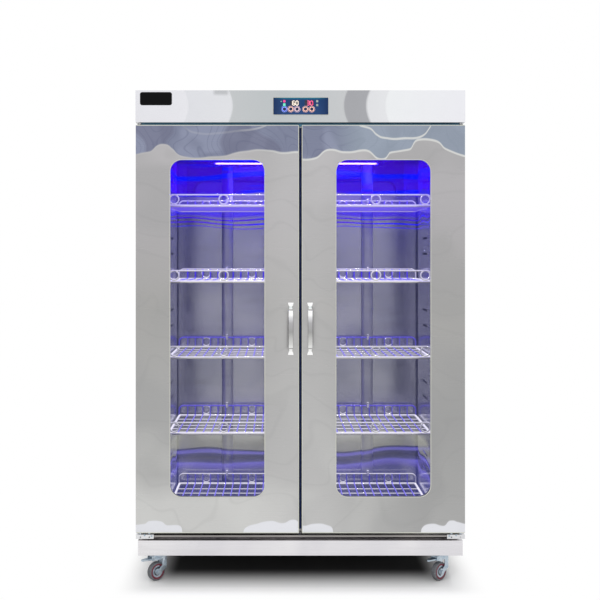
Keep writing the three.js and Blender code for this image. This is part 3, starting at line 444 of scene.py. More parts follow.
def lit_vapour():
    """The lamp's lit vapour: a white-hot line to the eye, violet at the ends where the electrodes darken
    it."""
    made, add, shader = surface("lit_vapour", "F2F4FF", 0.0, 0.5)
    glossy = add("LightPath", output="Is Glossy Ray")
    feed(shader, Emission_Strength=add("MULTIPLY_ADD", glossy, 120.0, 18.0))
    across, _, _ = add("SeparateXYZ", output=None)
    ends = add("MapRange", add("ABSOLUTE", across), 0.35, 0.362)
    feed(shader, Emission_Color=add("Mix", ends, "F4F8FF", "3A1CB0"))
    return made


def mottled(name, colour, roughness, tones, size, shares, grit, bump, rough=(), metallic=0.0, **named):
    """A finish in two tones after a cloudy pattern, with finer grit, their sizes and bump in millimetres."""
    cloudiness = {key: named.pop(key) for key in ("Detail", "Distortion") if key in named}
    made, add, shader = surface(name, colour, metallic, roughness, **named)
    cloud = add("TexNoise", Scale=per_metre(size), **cloudiness)
    feed(shader, Base_Color=add("Mix", add("MapRange", cloud, *shares), *tones))
    if rough:
        feed(shader, Roughness=add("MapRange", cloud, 0.3, 0.7, *rough))
    relief(add, shader, [(add("TexNoise", Scale=per_metre(grit)), bump * MM)])
    return made


def moulded(name, colour, roughness, grit=0.6, worn=None, painted_glow=0.0):
    """Injection-moulded plastic: even colour and the fine grit of a spark-eroded mould, with a painted glow
    in its own colour where one is given."""
    rough = (roughness * 0.8, roughness * 1.2)
    lit = {"Emission_Color": colour, "Emission_Strength": painted_glow}
    tones = (colour, worn or colour)
    return mottled(name, colour, roughness, tones, 25, (0.3, 0.7), grit, 0.03, rough, IOR=1.49, **lit)


def tyre_rubber(name, colour, worn):
    """Cast polyurethane of a caster: satin, scuffed where it has rolled."""
    cloudiness = {"Detail": 3.0, "Distortion": 1.0}
    tones, rough = (colour, worn), (0.38, 0.62)
    return mottled(name, colour, 0.5, tones, 6, (0.4, 0.7), 0.8, 0.05, rough, IOR=1.5, **cloudiness)


def seal_rubber():
    """Extruded dark grey door seal: matt, with the long die lines of extrusion and a little dust."""
    tones, shares = ("303236", "55585C"), (0.45, 0.75, 0.0, 0.4)
    return mottled("seal_rubber", "35373B", 0.65, tones, 40, shares, 1.2, 0.06, IOR=1.52, Detail=3.0)


def painted_motor():
    """Dark stove enamel on the motor's shell: slight orange peel."""
    tones = ("3B3F42", "4C5054")
    return mottled("motor_enamel", "43474A", 0.45, tones, 2.5, (0.35, 0.65), 2.5, 0.08, metallic=0.3)


def heat_tinted_tube():
    """Steel heater sheath, tinted straw and blue by its own heat."""
    tones = ("7A6A52", "5B6070")
    return mottled("heater_sheath", "6E675E", 0.42, tones, 35, (0.35, 0.65), 1.5, 0.04, metallic=1.0)


def panel_film():
    """Glossy printed polyester film on the control strip: navy, a teal sheen at its top edge, darker at the
    ends."""
    made, add, shader = surface("panel_film", "10234C", 0.0, 0.18, IOR=1.58, Specular_IOR_Level=0.12)
    across, _, up = add("SeparateXYZ", output=None)
    cloud = add("TexNoise", Scale=per_metre(60))
    base = add("Mix", add("MapRange", cloud, 0.3, 0.7), "1B3F70", "2B4A7E")
    teal = add("Mix", add("MapRange", up, 1.765, 1.771), base, "2A6E86")
    side = add("MapRange", add("ABSOLUTE", add("SUBTRACT", across, 0.0015)), 0.06, 0.1)
    feed(shader, Base_Color=add("Mix", side, teal, "15305C"))
    relief(add, shader, [(cloud, 0.05 * MM)])
    return made


def lit_segment(name, colour, strength):
    """A lit segment under the film: even light with a hot middle."""
    made, add, shader = surface(name, "0A0A10", 0.0, 0.5, Specular_IOR_Level=0.1, Emission_Strength=strength)
    cell = add("TexNoise", Scale=per_metre(6), Detail=1.0)
    feed(shader, Emission_Color=add("Mix", add("MapRange", cell, 0.3, 0.7, 0.0, 0.2), colour, "FFFFFF"))
    return made


def black_gloss():
    """Black acrylic badge with a polished face and hairline scratches."""
    made, add, shader = surface("black_acrylic", "040405", 0.0, 0.12, IOR=1.49, Specular_IOR_Level=0.1)
    scratch = grain(add, across=0.8, along=40, turn=(0, math.radians(20), 0))
    feed(shader, Roughness=add("MapRange", scratch, 0.5, 0.75, 0.1, 0.3))
    return made


def glass_wool():
    """Yellow glass wool behind the liner: loose fibres 4 mm apart in matted layers."""
    made, add, shader = surface("glass_wool", "D9CB90", 0.0, 0.95)
    fibre = grain(add, across=4, along=45)
    mat = add("TexNoise", Scale=per_metre(30), Detail=4.0)
    feed(shader, Base_Color=add("Mix", add("MapRange", fibre, 0.35, 0.7), "C7B876", "E9DFAF"))
    relief(add, shader, [(mat, 3 * MM), (fibre, 0.8 * MM)])
    return made


def laminate():
    """Green glass-epoxy board: weave under the lacquer and darker copper lands."""
    made, add, shader = surface("board_laminate", "2E6A45", 0.0, 0.35, IOR=1.5)
    lands = add("TexVoronoi", Scale=per_metre(7), distance="MANHATTAN")
    share = add("MapRange", lands, 0.25, 0.35)
    feed(shader, Base_Color=add("Mix", share, "3C7C52", "27573B"))
    relief(add, shader, [(share, 0.05 * MM)])
    return made


case_finish = brushed_stainless("case_stainless", "C9C9C8", "C0C1C2", along="Z", wave=0.05)
door_liner_finish = brushed_stainless("door_liner_stainless", "C4C4C8", "BABBC0", along="Z", wave=0.05)
# The plinth's sheet is painted paler than the case's for the light it catches, and the base pan's darker and
# browner for the shade in the recess under the doors
plinth_finish = brushed_stainless("plinth_stainless", "EAE8EA", "DEDCE0")
pan_finish = brushed_stainless("base_pan_stainless", "ADA8A6", "9C9896")
hinge_finish = brushed_stainless("hinge_stainless", "E8E8EA", "D4D5D8")
header_finish = header_stainless()
door_finish = door_stainless()
liner_finish = polished_liner()
standard_finish = polished_liner("satin_standard", 2.2, 2.2)
# Painted light on a wire by the way it faces: from the painted shade of its underside to the painted
# highlight on its top
RAIL_SHEEN = ((0.0, "4C4E3C"), (0.35, "6E6C60"), (0.5, "A4A0B0"), (0.75, "E2DEF6"), (1.0, "F6F2FF"))
GRID_SHEEN = ((0.0, "2A2466"), (0.4, "2800D8"), (0.6, "3004E8"), (0.8, "5440E8"), (1.0, "9088F4"))
rail_finish = shelf_chrome("rail_chrome", "B8B8AE", RAIL_SHEEN, 1.0)
# The grid wires' violet tone is a painted reflection of the lamp
grid_finish = shelf_chrome("grid_chrome", "5A5490", GRID_SHEEN, 1.05)
chrome_finish = polished_chrome()
zinc_finish = zinc_plate()
glass_finish = toughened_glass()
tube_finish = quartz_tube()
vapour_finish = lit_vapour()
film_finish = panel_film()
badge_finish = black_gloss()
seal_finish = seal_rubber()
tread_finish = tyre_rubber("grey_tread", "54565A", "6C6E72")
ring_finish = tyre_rubber("dark_red_ring", "5C1A2A", "702838")
dark_ring_finish = tyre_rubber("dark_hub_ring", "232427", "303236")
wool_finish = glass_wool()
motor_finish = painted_motor()
heater_finish = heat_tinted_tube()
board_finish = laminate()
white_finish = moulded("white_nylon", "E4E4E0", 0.42, 0.6, "D8D8D2")
black_finish = moulded("black_nylon", "17181A", 0.45)
key_centre_finish = moulded("navy_key_plastic", "0C1B40", 0.45, 0.5, "10224C")
# The three key colours glow with painted light
blue_key_finish = moulded("blue_key_plastic", "8C9CFF", 0.3, 0.5, "7488F4", 0.7)
salmon_key_finish = moulded("salmon_key_plastic", "FFC8B4", 0.3, 0.5, "F4BCA8", 0.6)
pale_key_finish = moulded("pale_key_plastic", "F4D4DA", 0.3, 0.5, "EAC4CE", 0.6)
display_finish = moulded("display_window", "1A2030", 0.15, 0.8, "202A44")


# --- Mesh helpers ---
def ridden(made, body, slot, replaces):
    """An object that rides on a body, in the place of the CAD nodes that are named."""
    bpy.context.scene.collection.objects.link(made)
    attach(made, body)
    if replaces:
        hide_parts(*replaces)


def mesh_of(name, points, faces, marks=None):
    mesh = bpy.data.meshes.new(name)
    mesh.from_pydata(points, [], faces)
    if marks:
        mesh.polygons.foreach_set("material_index", marks)
    mesh.update()
    return mesh


def piece(name, shape, finishes, body, slot, smooth=True, crease=40, replaces=()):
    """An object from points, faces and the finish that each face has, on a body."""
    mesh = mesh_of(name, *shape)
    for finish in finishes:
        mesh.materials.append(finish)
    if smooth:
        mesh.polygons.foreach_set("use_smooth", [True] * len(mesh.polygons))
        mesh.set_sharp_from_angle(angle=math.radians(crease))
    ridden(bpy.data.objects.new(name, mesh), body, slot, replaces)


def skin(rings):
    """Points and faces of a tube through rings of as many points each."""
    count = len(rings[0])
    points = [p for ring in rings for p in ring]
    faces = []
    for i in range(len(rings) - 1):
        for j in range(count):
            k = (j + 1) % count
            faces.append((i * count + j, i * count + k, (i + 1) * count + k, (i + 1) * count + j))
    faces.append(tuple(reversed(range(count))))
    faces.append(tuple(range((len(rings) - 1) * count, len(rings) * count)))
    return points, faces


def circle(steps):
    """Cosine and sine of as many even steps round a full turn."""
    for i in range(steps):
        yield math.cos(i * FULL_TURN / steps), math.sin(i * FULL_TURN / steps)


def turned(profile, steps, place, closed=False, ends=()):
    """A lathe body: profile is (radius, along, mark) rows, place turns (across, up, along) from its axis
    into a point, and ends holds the marks of the faces that close its two ends."""
    points, faces, marks = [], [], []
    rows = len(profile)
    for c, s in circle(steps):
        points += [place(radius * c, radius * s, along) for radius, along, _ in profile]
    for i in range(steps):
        j = (i + 1) % steps
        for row in range(rows if closed else rows - 1):
            after = (row + 1) % rows
            faces.append((i * rows + row, i * rows + after, j * rows + after, j * rows + row))
            marks.append(profile[row][2])
    if ends:
        faces.append(tuple(i * rows for i in range(steps)))
        faces.append(tuple(i * rows + rows - 1 for i in reversed(range(steps))))
        marks += ends
    return points, faces, marks


def about(x, z):
    """For a lathe body about a line that runs straight back at a place across and up."""
    return lambda across, up, along: at(x + across, along, z + up)


def round_corners(half_width, half_height, radius, steps):
    """Across and up from its middle, the outline of a rectangle with round corners."""
    w, h = half_width - radius, half_height - radius
    for cx, cz, start in ((w, h, 0), (-w, h, 90), (-w, -h, 180), (w, -h, 270)):
        for step in range(steps + 1):
            angle = math.radians(start + step * 90 / steps)
            yield cx + radius * math.cos(angle), cz + radius * math.sin(angle)


def merged(parts):
    """Several (points, faces) as one."""
    points, faces = [], []
    for more, polygons in parts:
        start = len(points)
        points += more
        faces += [tuple(start + i for i in polygon) for polygon in polygons]
    return points, faces


BEND_STEPS = 4


def rounded_path(corners, radius, closed=False):
    """A line through corners, with an arc of that radius in millimetres at each bend."""
    corners = [Vector(c) for c in corners]
    count = len(corners)
    path = []
    for i, corner in enumerate(corners):
        if not closed and i in (0, count - 1):
            path.append(corner)
            continue
        before = corners[i - 1] - corner
        after = corners[(i + 1) % count] - corner
        reach = min(radius * MM, before.length * 0.48, after.length * 0.48)
        start = corner + before.normalized() * reach
        end = corner + after.normalized() * reach
        for step in range(BEND_STEPS + 1):
            t = step / BEND_STEPS
            path.append((1 - t) ** 2 * start + 2 * t * (1 - t) * corner + t * t * end)
    return path


def wires(name, paths, finish, body, slot, replaces=()):
    """Round wire along each (path, radius, closed), as one curve."""
    curve = bpy.data.curves.new(name, "CURVE")
    curve.dimensions = "3D"
    curve.bevel_depth = 1.0
    curve.bevel_resolution = 2
    curve.use_fill_caps = True
    curve.materials.append(finish)
    for path, radius, closed in paths:
        spline = curve.splines.new("POLY")
        spline.points.add(len(path) - 1)
        for point, place in zip(spline.points, path):
            point.co = (*place, 1)
            point.radius = radius * MM
        spline.use_cyclic_u = closed
        spline.use_smooth = True
    ridden(bpy.data.objects.new(name, curve), body, slot, replaces)


FOLD_ANGLE = math.radians(32)


def soften(name, width, finish):
    """A CAD node with its finish, and its edges folded round by a bevel of that width in millimetres."""
    made = nodes[name]
    made.data.materials.clear()
    made.data.materials.append(finish)
    made.data.polygons.foreach_set("use_smooth", [True] * len(made.data.polygons))
    made.data.set_sharp_from_angle(angle=FOLD_ANGLE)
    if width:
        weld = made.modifiers.new("weld", "WELD")
        weld.merge_threshold = 0.01 * MM
        flat = made.modifiers.new("flat", "DECIMATE")
        flat.decimate_type = "DISSOLVE"
        flat.angle_limit = math.radians(0.5)
        fold = made.modifiers.new("fold", "BEVEL")
        fold.width = width * MM
        fold.segments = 2
        fold.limit_method = "ANGLE"
        fold.angle_limit = FOLD_ANGLE
        fold.harden_normals = True
    return made


def plate_points(low, high, edge):
    """A box with its edges cut back, in metres, between two corners."""
    made = bmesh.new()
    bmesh.ops.create_cube(made, size=1)
    low, high = Vector(low), Vector(high)
    for vertex in made.verts:
        vertex.co = Vector(high[i] if vertex.co[i] > 0 else low[i] for i in range(3))
    bmesh.ops.bevel(made, geom=made.edges[:], offset=edge * MM, segments=2, affect="EDGES", profile=0.6)
    made.verts.index_update()
    points = [v.co.copy() for v in made.verts]
    faces = [tuple(v.index for v in f.verts) for f in made.faces]
    made.free()
    return points, faces


# --- CAD pieces that keep their shape: finish and folded edges ---
KEPT = (
    ("case_steel", case_finish, 1.0, "left_side_panel right_side_panel header_case"),
    ("case_steel", case_finish, 0.8, "rear_panel"),
    ("case_steel", header_finish, 1.2, "header_fascia"),
    ("case_steel", plinth_finish, 2.0, "plinth"),
    ("case_steel", pan_finish, 1.2, "base_pan"),
    ("case_steel", door_finish, 1.6, "left_door_frame right_door_frame"),
    ("liner_steel", liner_finish, 0, "chamber_liner left_air_duct right_air_duct"),
    ("liner_steel", liner_finish, 1.0, "centre_post"),
    ("liner_steel", standard_finish, 0.6, "left_shelf_standard right_shelf_standard"),
    ("liner_steel", door_liner_finish, 0.5, "left_door_liner right_door_liner"),
    ("glass_wool", wool_finish, 0, "insulation_jacket"),
    ("glass", glass_finish, 0, "left_door_glass right_door_glass"),
    ("seal_rubber", seal_finish, 2.0, "left_door_gasket right_door_gasket"),
    ("board", board_finish, 0, "control_board"),
    ("black_plastic", black_finish, 0.8, "cable_gland"),
    ("white_plastic", white_finish, 2.0, "lamp_fitting"),
    ("navy_plastic", film_finish, 0.6, "control_panel"),
    ("motor_steel", motor_finish, 1.5, "fan_motor"),
    ("heater_steel", heater_finish, 0, "ring_heater"),
    ("zinc", hinge_finish, 0.5, "left_hinge_bracket right_hinge_bracket"),
    ("zinc", zinc_finish, 0.3, "fan_wheel"),
    ("zinc", zinc_finish, 0.6, "fan_housing front_left_brake_pedal front_right_brake_pedal"),
)
for slot, finish, width, names in KEPT:
    for name in names.split():
        soften(name, width, finish)


# Where each caster swivels, across and back, and the turn of its pedal in degrees
CASTERS = {
    "front_left": ((-522, 64), 221), "front_right": ((522, 64), 221), "rear_left": ((-522, 530), 140),
    "rear_right": ((522, 530), 140),
}
for corner in CASTERS:
    soften(f"{corner}_caster_plate", 0.8, zinc_finish)
    soften(f"{corner}_caster_fork", 0.6, zinc_finish)


# --- Wire shelves ---
SHELF_COUNT = 5
SHELF_PITCH = 284.2
TOP_GUARD = 1429
GUARD_HEIGHT = 39
SHELF_HALF = 496
SHELF_FRONT, SHELF_REAR = 100, 530
WIRE = 3.0
THIN_WIRE = 2.5
WIRE_COUNT = 30
WIRE_PITCH = 31.5
CROSS_DEPTHS = (147, 220, 293, 366, 440)
FRONT_RINGS = (-470, -285, -95, 95, 285, 470)
REAR_RINGS = (-380, -190, 0, 190, 380)
BORDER = 5.2
GUARD_DEPTHS = (SHELF_FRONT + 3.5, SHELF_REAR - 3.5)
HOOK, HOOK_X, HOOK_DEPTH = 5.5, 294, 527
PAINTED_VIOLET_GUARDS = (2, 3)


def ring_path(x, depth, middle, radius):
    return [at(x + radius * c, depth, middle + radius * s) for c, s in circle(20)]


def shelf_wires(level):
    top = TOP_GUARD - level * SHELF_PITCH
    grid = top - GUARD_HEIGHT
    border = grid - BORDER
    end = SHELF_HALF - WIRE
    paths, grid_paths = [], []
    for depth in GUARD_DEPTHS:
        corners = [at(-end, depth, border), at(-end, depth, top - 14), at(-end + 12, depth, top - WIRE)]
        corners += [at(-c.x / MM, depth, c.z / MM) for c in reversed(corners)]
        # The third and fourth shelves' rear guards take the grid's painted violet reflection of the lamp's
        # light
        mirrored = level in PAINTED_VIOLET_GUARDS and depth == GUARD_DEPTHS[1]
        (grid_paths if mirrored else paths).append((rounded_path(corners, 6), WIRE, False))
    ring_middle = (top + grid) / 2 - 1
    reach = (top - grid) / 2 - WIRE + 0.8
    for depth, places in zip(GUARD_DEPTHS, (FRONT_RINGS, REAR_RINGS)):
        paths += [(ring_path(x, depth, ring_middle, reach), WIRE, True) for x in places]
    frame_half = SHELF_HALF - BORDER
    loop = [(-frame_half, SHELF_FRONT + BORDER), (frame_half, SHELF_FRONT + BORDER)]
    loop += [(frame_half, SHELF_REAR - BORDER), (-frame_half, SHELF_REAR - BORDER)]
    paths.append((rounded_path([at(x, d, border) for x, d in loop], 9, closed=True), BORDER, True))
    for i in range(WIRE_COUNT):
        x = (i - (WIRE_COUNT - 1) / 2) * WIRE_PITCH
        rear = SHELF_REAR - 8
        corners = [
            at(x, SHELF_FRONT + BORDER, grid - THIN_WIRE), at(x, rear, grid - THIN_WIRE),
            at(x, rear, top - WIRE),
        ]
        grid_paths.append((rounded_path(corners, 8), THIN_WIRE, False))
    for depth in CROSS_DEPTHS:
        ends = [at(-frame_half, depth, grid - 3 * THIN_WIRE), at(frame_half, depth, grid - 3 * THIN_WIRE)]
        # The top shelf's cross wires are seen from under, where they keep the grid's painted violet
        # reflection
        (paths if level else grid_paths).append((ends, THIN_WIRE, False))
    # A bent tab on each standard holds the rear guard
    for x in (-HOOK_X, HOOK_X):
        tab = [
            at(x, HOOK_DEPTH + 17, top - 12), at(x, HOOK_DEPTH + 8, top + 6), at(x, HOOK_DEPTH - 4, top + 4)
        ]
        paths.append((rounded_path(tab + [at(x, HOOK_DEPTH - 5, top - 10)], 5), HOOK, False))
    name = f"shelf_{level + 1}"
    wires(f"{name}_rails", paths, rail_finish, "cabinet", "chrome", replaces=[name])
    wires(f"{name}_grid", grid_paths, grid_finish, "cabinet", "chrome")


for level in range(SHELF_COUNT):
    shelf_wires(level)


# --- Door handles: a cast bow with flared feet ---
HANDLE_MIDDLE = 933
HANDLE_HALF = 95
HANDLE_X = 35
HANDLE_REACH = 41.5
FOOT_REACH = 9
HANDLE_ROWS = 61
HANDLE_SIDES = 24


def eased(value, low, high):
    """0 below low and 1 above high, with a soft turn at each."""
    share = min(1.0, max(0.0, (value - low) / (high - low)))
    return share * share * (3 - 2 * share)


def handle(side, mirror):
    rings = []
    for i in range(HANDLE_ROWS):
        along = -1 + 2 * i / (HANDLE_ROWS - 1)
        # The foot flares to 21 mm, the neck narrows to 14 mm and the grip is 18 mm wide
        neck = math.exp(-(((abs(along) - 0.83) / 0.05) ** 2))
        half_width = 8.8 - 1.9 * neck + 2.0 * eased(abs(along), 0.86, 1.0)
        front = HANDLE_REACH - (HANDLE_REACH - FOOT_REACH) * eased(abs(along), 0.7, 0.87)
        back = (front - 10.8) * (1 - eased(abs(along), 0.78, 0.9)) + 0.4
        half_thick = (front - back) / 2
        depth = -(front + back) / 2
        ring = []
        for c, s in circle(HANDLE_SIDES):
            x = math.copysign(abs(c) ** 0.75, c) * half_width
            y = math.copysign(abs(s) ** 0.75, s) * half_thick
            ring.append(at(mirror * HANDLE_X + x, depth + y, HANDLE_MIDDLE + along * HANDLE_HALF))
        rings.append(ring)
    replaced = [f"{side}_door_handle"]
    piece(f"{side}_handle_bow", skin(rings), [chrome_finish], f"{side}_door", "chrome", replaces=replaced)


for side, mirror in SIDES.items():
    handle(side, mirror)


# --- Window rims: a narrow bead rolled round each opening ---
WINDOW_X = (130, 474)
WINDOW_Z = (320.8, 1547.3)
WINDOW_RADIUS = 42
BEAD, BEAD_OUT = 1.6, 0.6


def window_rim(side, mirror):
    middle_x, middle_z = sum(WINDOW_X) / 2, sum(WINDOW_Z) / 2
    half_x, half_z = WINDOW_X[1] - middle_x + BEAD_OUT, WINDOW_Z[1] - middle_z + BEAD_OUT
    outline = round_corners(half_x, half_z, WINDOW_RADIUS + BEAD_OUT, 12)
    path = [at(mirror * (middle_x + x), 0.3, middle_z + z) for x, z in outline]
    wires(f"{side}_window_bead", [(path, BEAD, True)], rim_finish, f"{side}_door", "case_steel")


def door_bead(side, mirror):
    """The skin's rolled edge along the top, the meeting side and the bottom of a door."""
    corners = ((597, 1672.6), (6.5, 1672.6), (6.5, 190.4), (597, 190.4))
    path = rounded_path([at(mirror * x, 0.6, z) for x, z in corners], 2)
    wires(f"{side}_door_bead", [(path, 1.7, False)], rim_finish, f"{side}_door", "case_steel")


# The beads are real rolled edges; their pale cream tone is a painted highlight
rim_finish = brushed_stainless("window_bead_stainless", "E2E2D6", "D6D7CC", wave=0.0)
for side, mirror in SIDES.items():
    window_rim(side, mirror)
    door_bead(side, mirror)


# --- Strips in the gaps round the doors ---
def gap_strips():
    """The navy strip seen between the doors, the teal one seen over them, and the flanges that close the
    chamber's front over and under them."""
    navy = moulded("navy_seal_vinyl", "16387C", 0.5, 1.0, "20346C")
    # The teal strip's glow is painted light
    teal = moulded("teal_seal_vinyl", "3A6276", 0.5, 1.0, "446C80", 0.8)
    for name, half, near, far, low, high, edge, finish, slot in (
        ("meeting_seal_strip", 13, 47.9, 49.9, 192, 1670, 0.6, navy, "navy_plastic"),
        ("head_seal_strip", 594, 48.5, 49.9, 1674, 1682.8, 0.4, teal, "navy_plastic"),
        ("chamber_head_flange", 555.5, 50.0, 51.4, 1641.5, 1683.0, 0.4, case_finish, "liner_steel"),
        ("chamber_sill_flange", 555.5, 50.0, 51.4, 180.5, 213.5, 0.4, case_finish, "liner_steel"),
    ):
        shape = plate_points(at(-half, near, low), at(half, far, high), edge)
        piece(name, shape, [finish], "cabinet", slot)


gap_strips()


# --- Screws with a cross recess ---
def screw_points(centre, outward, radius, height):
    """A pan head on a surface that faces outward, with a cross pressed into it."""
    outward = Vector(outward).normalized()
    across = outward.orthogonal().normalized()
    up = outward.cross(across)
    rings = []
    for share in (1.0, 1.0, 0.93, 0.8, 0.62, 0.48, 0.34, 0.2, 0.08):
        ring = []
        for c, s in circle(24):
            fold = min(abs(s), abs(c)) * share * radius
            recess = 0.55 * height if fold < 0.16 * radius and share < 0.6 else 0.0
            rise = 0.0 if not rings else height * math.sqrt(max(0.0, 1 - 0.75 * share * share)) - recess
            flat = (across * c + up * s) * share * radius
            ring.append(Vector(centre) + (flat + outward * rise) * MM)
        rings.append(ring)
    return skin(rings)


def screws(name, places, outward, radius, height):
    shape = merged([screw_points(place, outward, radius, height) for place in places])
    piece(name, shape, [zinc_finish], "cabinet", "zinc")


REAR_FACE = 600
for side, mirror in SIDES.items():
    plate_spots = ((16, 188.5), (32, 181), (49, 188.5), (57, 178))
    plate_places = [at(mirror * (598.7 - x), 0.6, z) for x, z in plate_spots]
    screws(f"{side}_hinge_screws", plate_places, (0, -1, 0), 3.6, 1.1)
rear_places = [at(x, REAR_FACE, z) for x in (-585, -290, 0, 290, 585) for z in (192, 1672)]
rear_places += [at(x, REAR_FACE, z) for x in (-585, 585) for z in (480, 776, 1072, 1368)]
screws("rear_panel_screws", rear_places, (0, 1, 0), 4.2, 1.8)
cover_places = [at(x, REAR_FACE, 1790) for x in (-560, -190, 190, 560)]
screws("header_rear_screws", cover_places, (0, 1, 0), 4.2, 1.8)


# --- Name plate, bare, and the slab that it and the control strip's parts are made of ---
def rounded_slab(x, z, width, height, radius, depths, edge=0.5):
    """A plate with round corners between two depths, its front edge softened."""
    rings = []
    near, far = depths
    for depth, inset in ((far, 0), (near + edge, 0), (near + 0.3 * edge, 0.3 * edge), (near, edge)):
        outline = round_corners(width / 2 - inset, height / 2 - inset, max(radius - inset, 0.2), 6)
        rings.append([at(x + px, depth, z + pz) for px, pz in outline])
    return skin(rings)


plate = rounded_slab(-525.5, 1769.25, 116, 48, 8, (-1.8, -0.3))
piece("badge_plate", plate, [badge_finish], "cabinet", "black_plastic", replaces=["name_plate"])


# --- Control strip ---
PANEL_X, PANEL_Z = 1.5, 1742
PANEL_FACE = -2.8
FILM = 0.25
BUTTONS = (
    ("power", -58.0, blue_key_finish, "blue_key"), ("lamp", -35.0, salmon_key_finish, "salmon_key"),
    ("heat", -12.0, pale_key_finish, "pale_key"), ("timer", 18.5, salmon_key_finish, "salmon_key"),
    ("start", 41.5, salmon_key_finish, "salmon_key"),
)
BUTTON_Z = 1731


def button(name, x, finish, slot):
    """A key: a coloured rim round a sunk navy middle, in a printed ring."""
    front = PANEL_FACE - 2.0
    cap = [
        (8.4, 1.0, 0), (8.4, front + 0.6, 0), (8.1, front + 0.15, 0), (7.6, front, 0),
        (6.6, front + 0.1, 0), (6.3, front + 0.5, 1), (4.0, front + 0.9, 1), (0.05, front + 1.0, 1),
    ]
    shape = turned(cap, 40, about(x, BUTTON_Z), ends=(0, 1))
    finishes, replaced = [finish, key_centre_finish], [f"{name}_button"]
    piece(f"{name}_key_cap", shape, finishes, f"{name}_key", slot, replaces=replaced)
    near, far = PANEL_FACE - FILM, PANEL_FACE + 0.4
    ring = [(8.6, far, 0), (8.6, near, 0), (11.6, near, 0), (11.6, far, 0)]
    shape = turned(ring, 36, about(x, BUTTON_Z), closed=True)
    piece(f"{name}_key_ring_print", shape, [finish], "cabinet", slot)


for name, x, finish, slot in BUTTONS:
    button(name, x, finish, slot)


def bezel():
    """A slim bright frame round the strip."""
    corners = [(PANEL_X + sx * 100.2, PANEL_Z + sz * 31.2) for sx, sz in ((-1, -1), (1, -1), (1, 1), (-1, 1))]
    path = rounded_path([at(x, -1.1, z) for x, z in corners], 3, closed=True)
    wires("control_strip_bezel", [(path, 1.2, True)], rim_finish, "cabinet", "case_steel")


bezel()

# Each bar across and up from the middle of a figure, and whether it lies level
SEGMENTS = {
    "a": (0, 1, True), "b": (1, 0.5, False), "c": (1, -0.5, False), "d": (0, -1, True),
    "e": (-1, -0.5, False), "f": (-1, 0.5, False), "g": (0, 0, True),
}
DISPLAY_Z, DIGIT_HEIGHT = 1753, 15.0
DIGITS = {"0": "abcdef", "3": "abcdg", "5": "acdfg", "6": "acdefg"}


def digit(x, z, figure):
    """A seven-segment figure made of slim bars."""
    half_w, half_h, bar = DIGIT_HEIGHT * 0.28, DIGIT_HEIGHT * 0.5, DIGIT_HEIGHT * 0.11
    near, far = PANEL_FACE - 2 * FILM, PANEL_FACE + 0.3
    parts = []
    for mark in DIGITS[figure]:
        across, up, level = SEGMENTS[mark]
        cx, cz = x + across * half_w, z + up * half_h
        w, h = (half_w * 0.82, bar) if level else (bar, half_h * 0.42)
        parts.append(plate_points(at(cx - w, near, cz - h), at(cx + w, far, cz + h), 0.12))
    return parts


def display(name, x, width, figures, finish):
    window = rounded_slab(x - 2, DISPLAY_Z, width, 20, 1.5, (PANEL_FACE - FILM, PANEL_FACE + 0.4), 0.1)
    piece(f"{name}_display_window", window, [display_finish], "cabinet", "navy_plastic")
    parts = []
    for i, figure in enumerate(figures):
        parts += digit(x + (i - (len(figures) - 1) / 2) * 12, DISPLAY_Z, figure)
    shape = merged(parts)
    piece(f"{name}_display_figures", shape, [finish], "cabinet", "navy_plastic", smooth=False)


display("temperature", -18.5, 34, "60", lit_segment("cream_segment", "FFF0DC", 1.25))
display("timer", 34.5, 34, "30", lit_segment("pink_red_segment", "FF2A84", 1.2))


def round_lamp(name, x, z, radius, finish):
    dome = ((radius, 0.4), (radius, -0.4), (radius * 0.8, -1.0), (radius * 0.4, -1.3), (0.05, -1.4))
    profile = [(reach, PANEL_FACE + along, 0) for reach, along in dome]
    shape = turned(profile, 24, about(x, z), ends=(0, 0))
    piece(name, shape, [finish], "cabinet", "navy_plastic")


round_lamp("power_indicator", -58.5, 1759.5, 4.8, lit_segment("red_indicator", "FF1E96", 1.0))
round_lamp("standby_indicator", -70.0, 1759.0, 2.2, lit_segment("mint_indicator", "A8D4C0", 0.8))
mint = lit_segment("mint_bar", "4CF0C4", 1.0)
pale = [lit_segment(f"pale_square_{i + 1}", "A8B4A4", 0.9) for i in range(2)]
for name, x, z, width, height, radius, finish in (
    ("power_bar", -58.5, 1746.5, 9, 11, 1.2, mint),
    ("mode_square_1", 61.0, 1759.5, 7.5, 7.5, 0.8, pale[0]),
    ("mode_square_2", 61.0, 1745.5, 7.5, 7.5, 0.8, pale[1]),
):
    shape = rounded_slab(x, z, width, height, radius, (PANEL_FACE - 0.5, PANEL_FACE + 0.3), 0.15)
    piece(name, shape, [finish], "cabinet", "navy_plastic")


# --- Lamp tube with metal end caps ---
LAMP_DEPTH, LAMP_Z = 315, 1608


def along_lamp(back, up, along):
    return at(along, LAMP_DEPTH + back, LAMP_Z + up)


tube = [(13.0, -375, 0), (13.0, -362, 1), (12.9, -361, 1), (12.9, 361, 1), (13.0, 362, 0), (13.0, 375, 0)]
tube_shape = turned(tube, 32, along_lamp, ends=(0, 0))
tube_finishes = [zinc_finish, tube_finish]
piece("violet_lamp_tube", tube_shape, tube_finishes, "cabinet", "lamp_glass", replaces=["uv_lamp"])
core = [(0.5, -368, 0), (3.0, -364, 0), (3.4, -350, 0), (3.4, 350, 0), (3.0, 364, 0), (0.5, 368, 0)]
core_shape = turned(core, 16, along_lamp, ends=(0, 0))
piece("lamp_vapour_core", core_shape, [vapour_finish], "cabinet", "lamp_glass")


# --- Caster wheels and axle nuts ---
WHEEL_RADIUS, TRAIL = 34, 12


def caster_place(corner):
    """Turns a place on a caster, in millimetres with its pedal towards +X, into the row frame."""
    (x, depth), turn = CASTERS[corner]
    spin = Matrix.Rotation(math.radians(turn), 3, "Z")
    return lambda point: at(x, depth, 0) + spin @ (Vector(point) * MM)


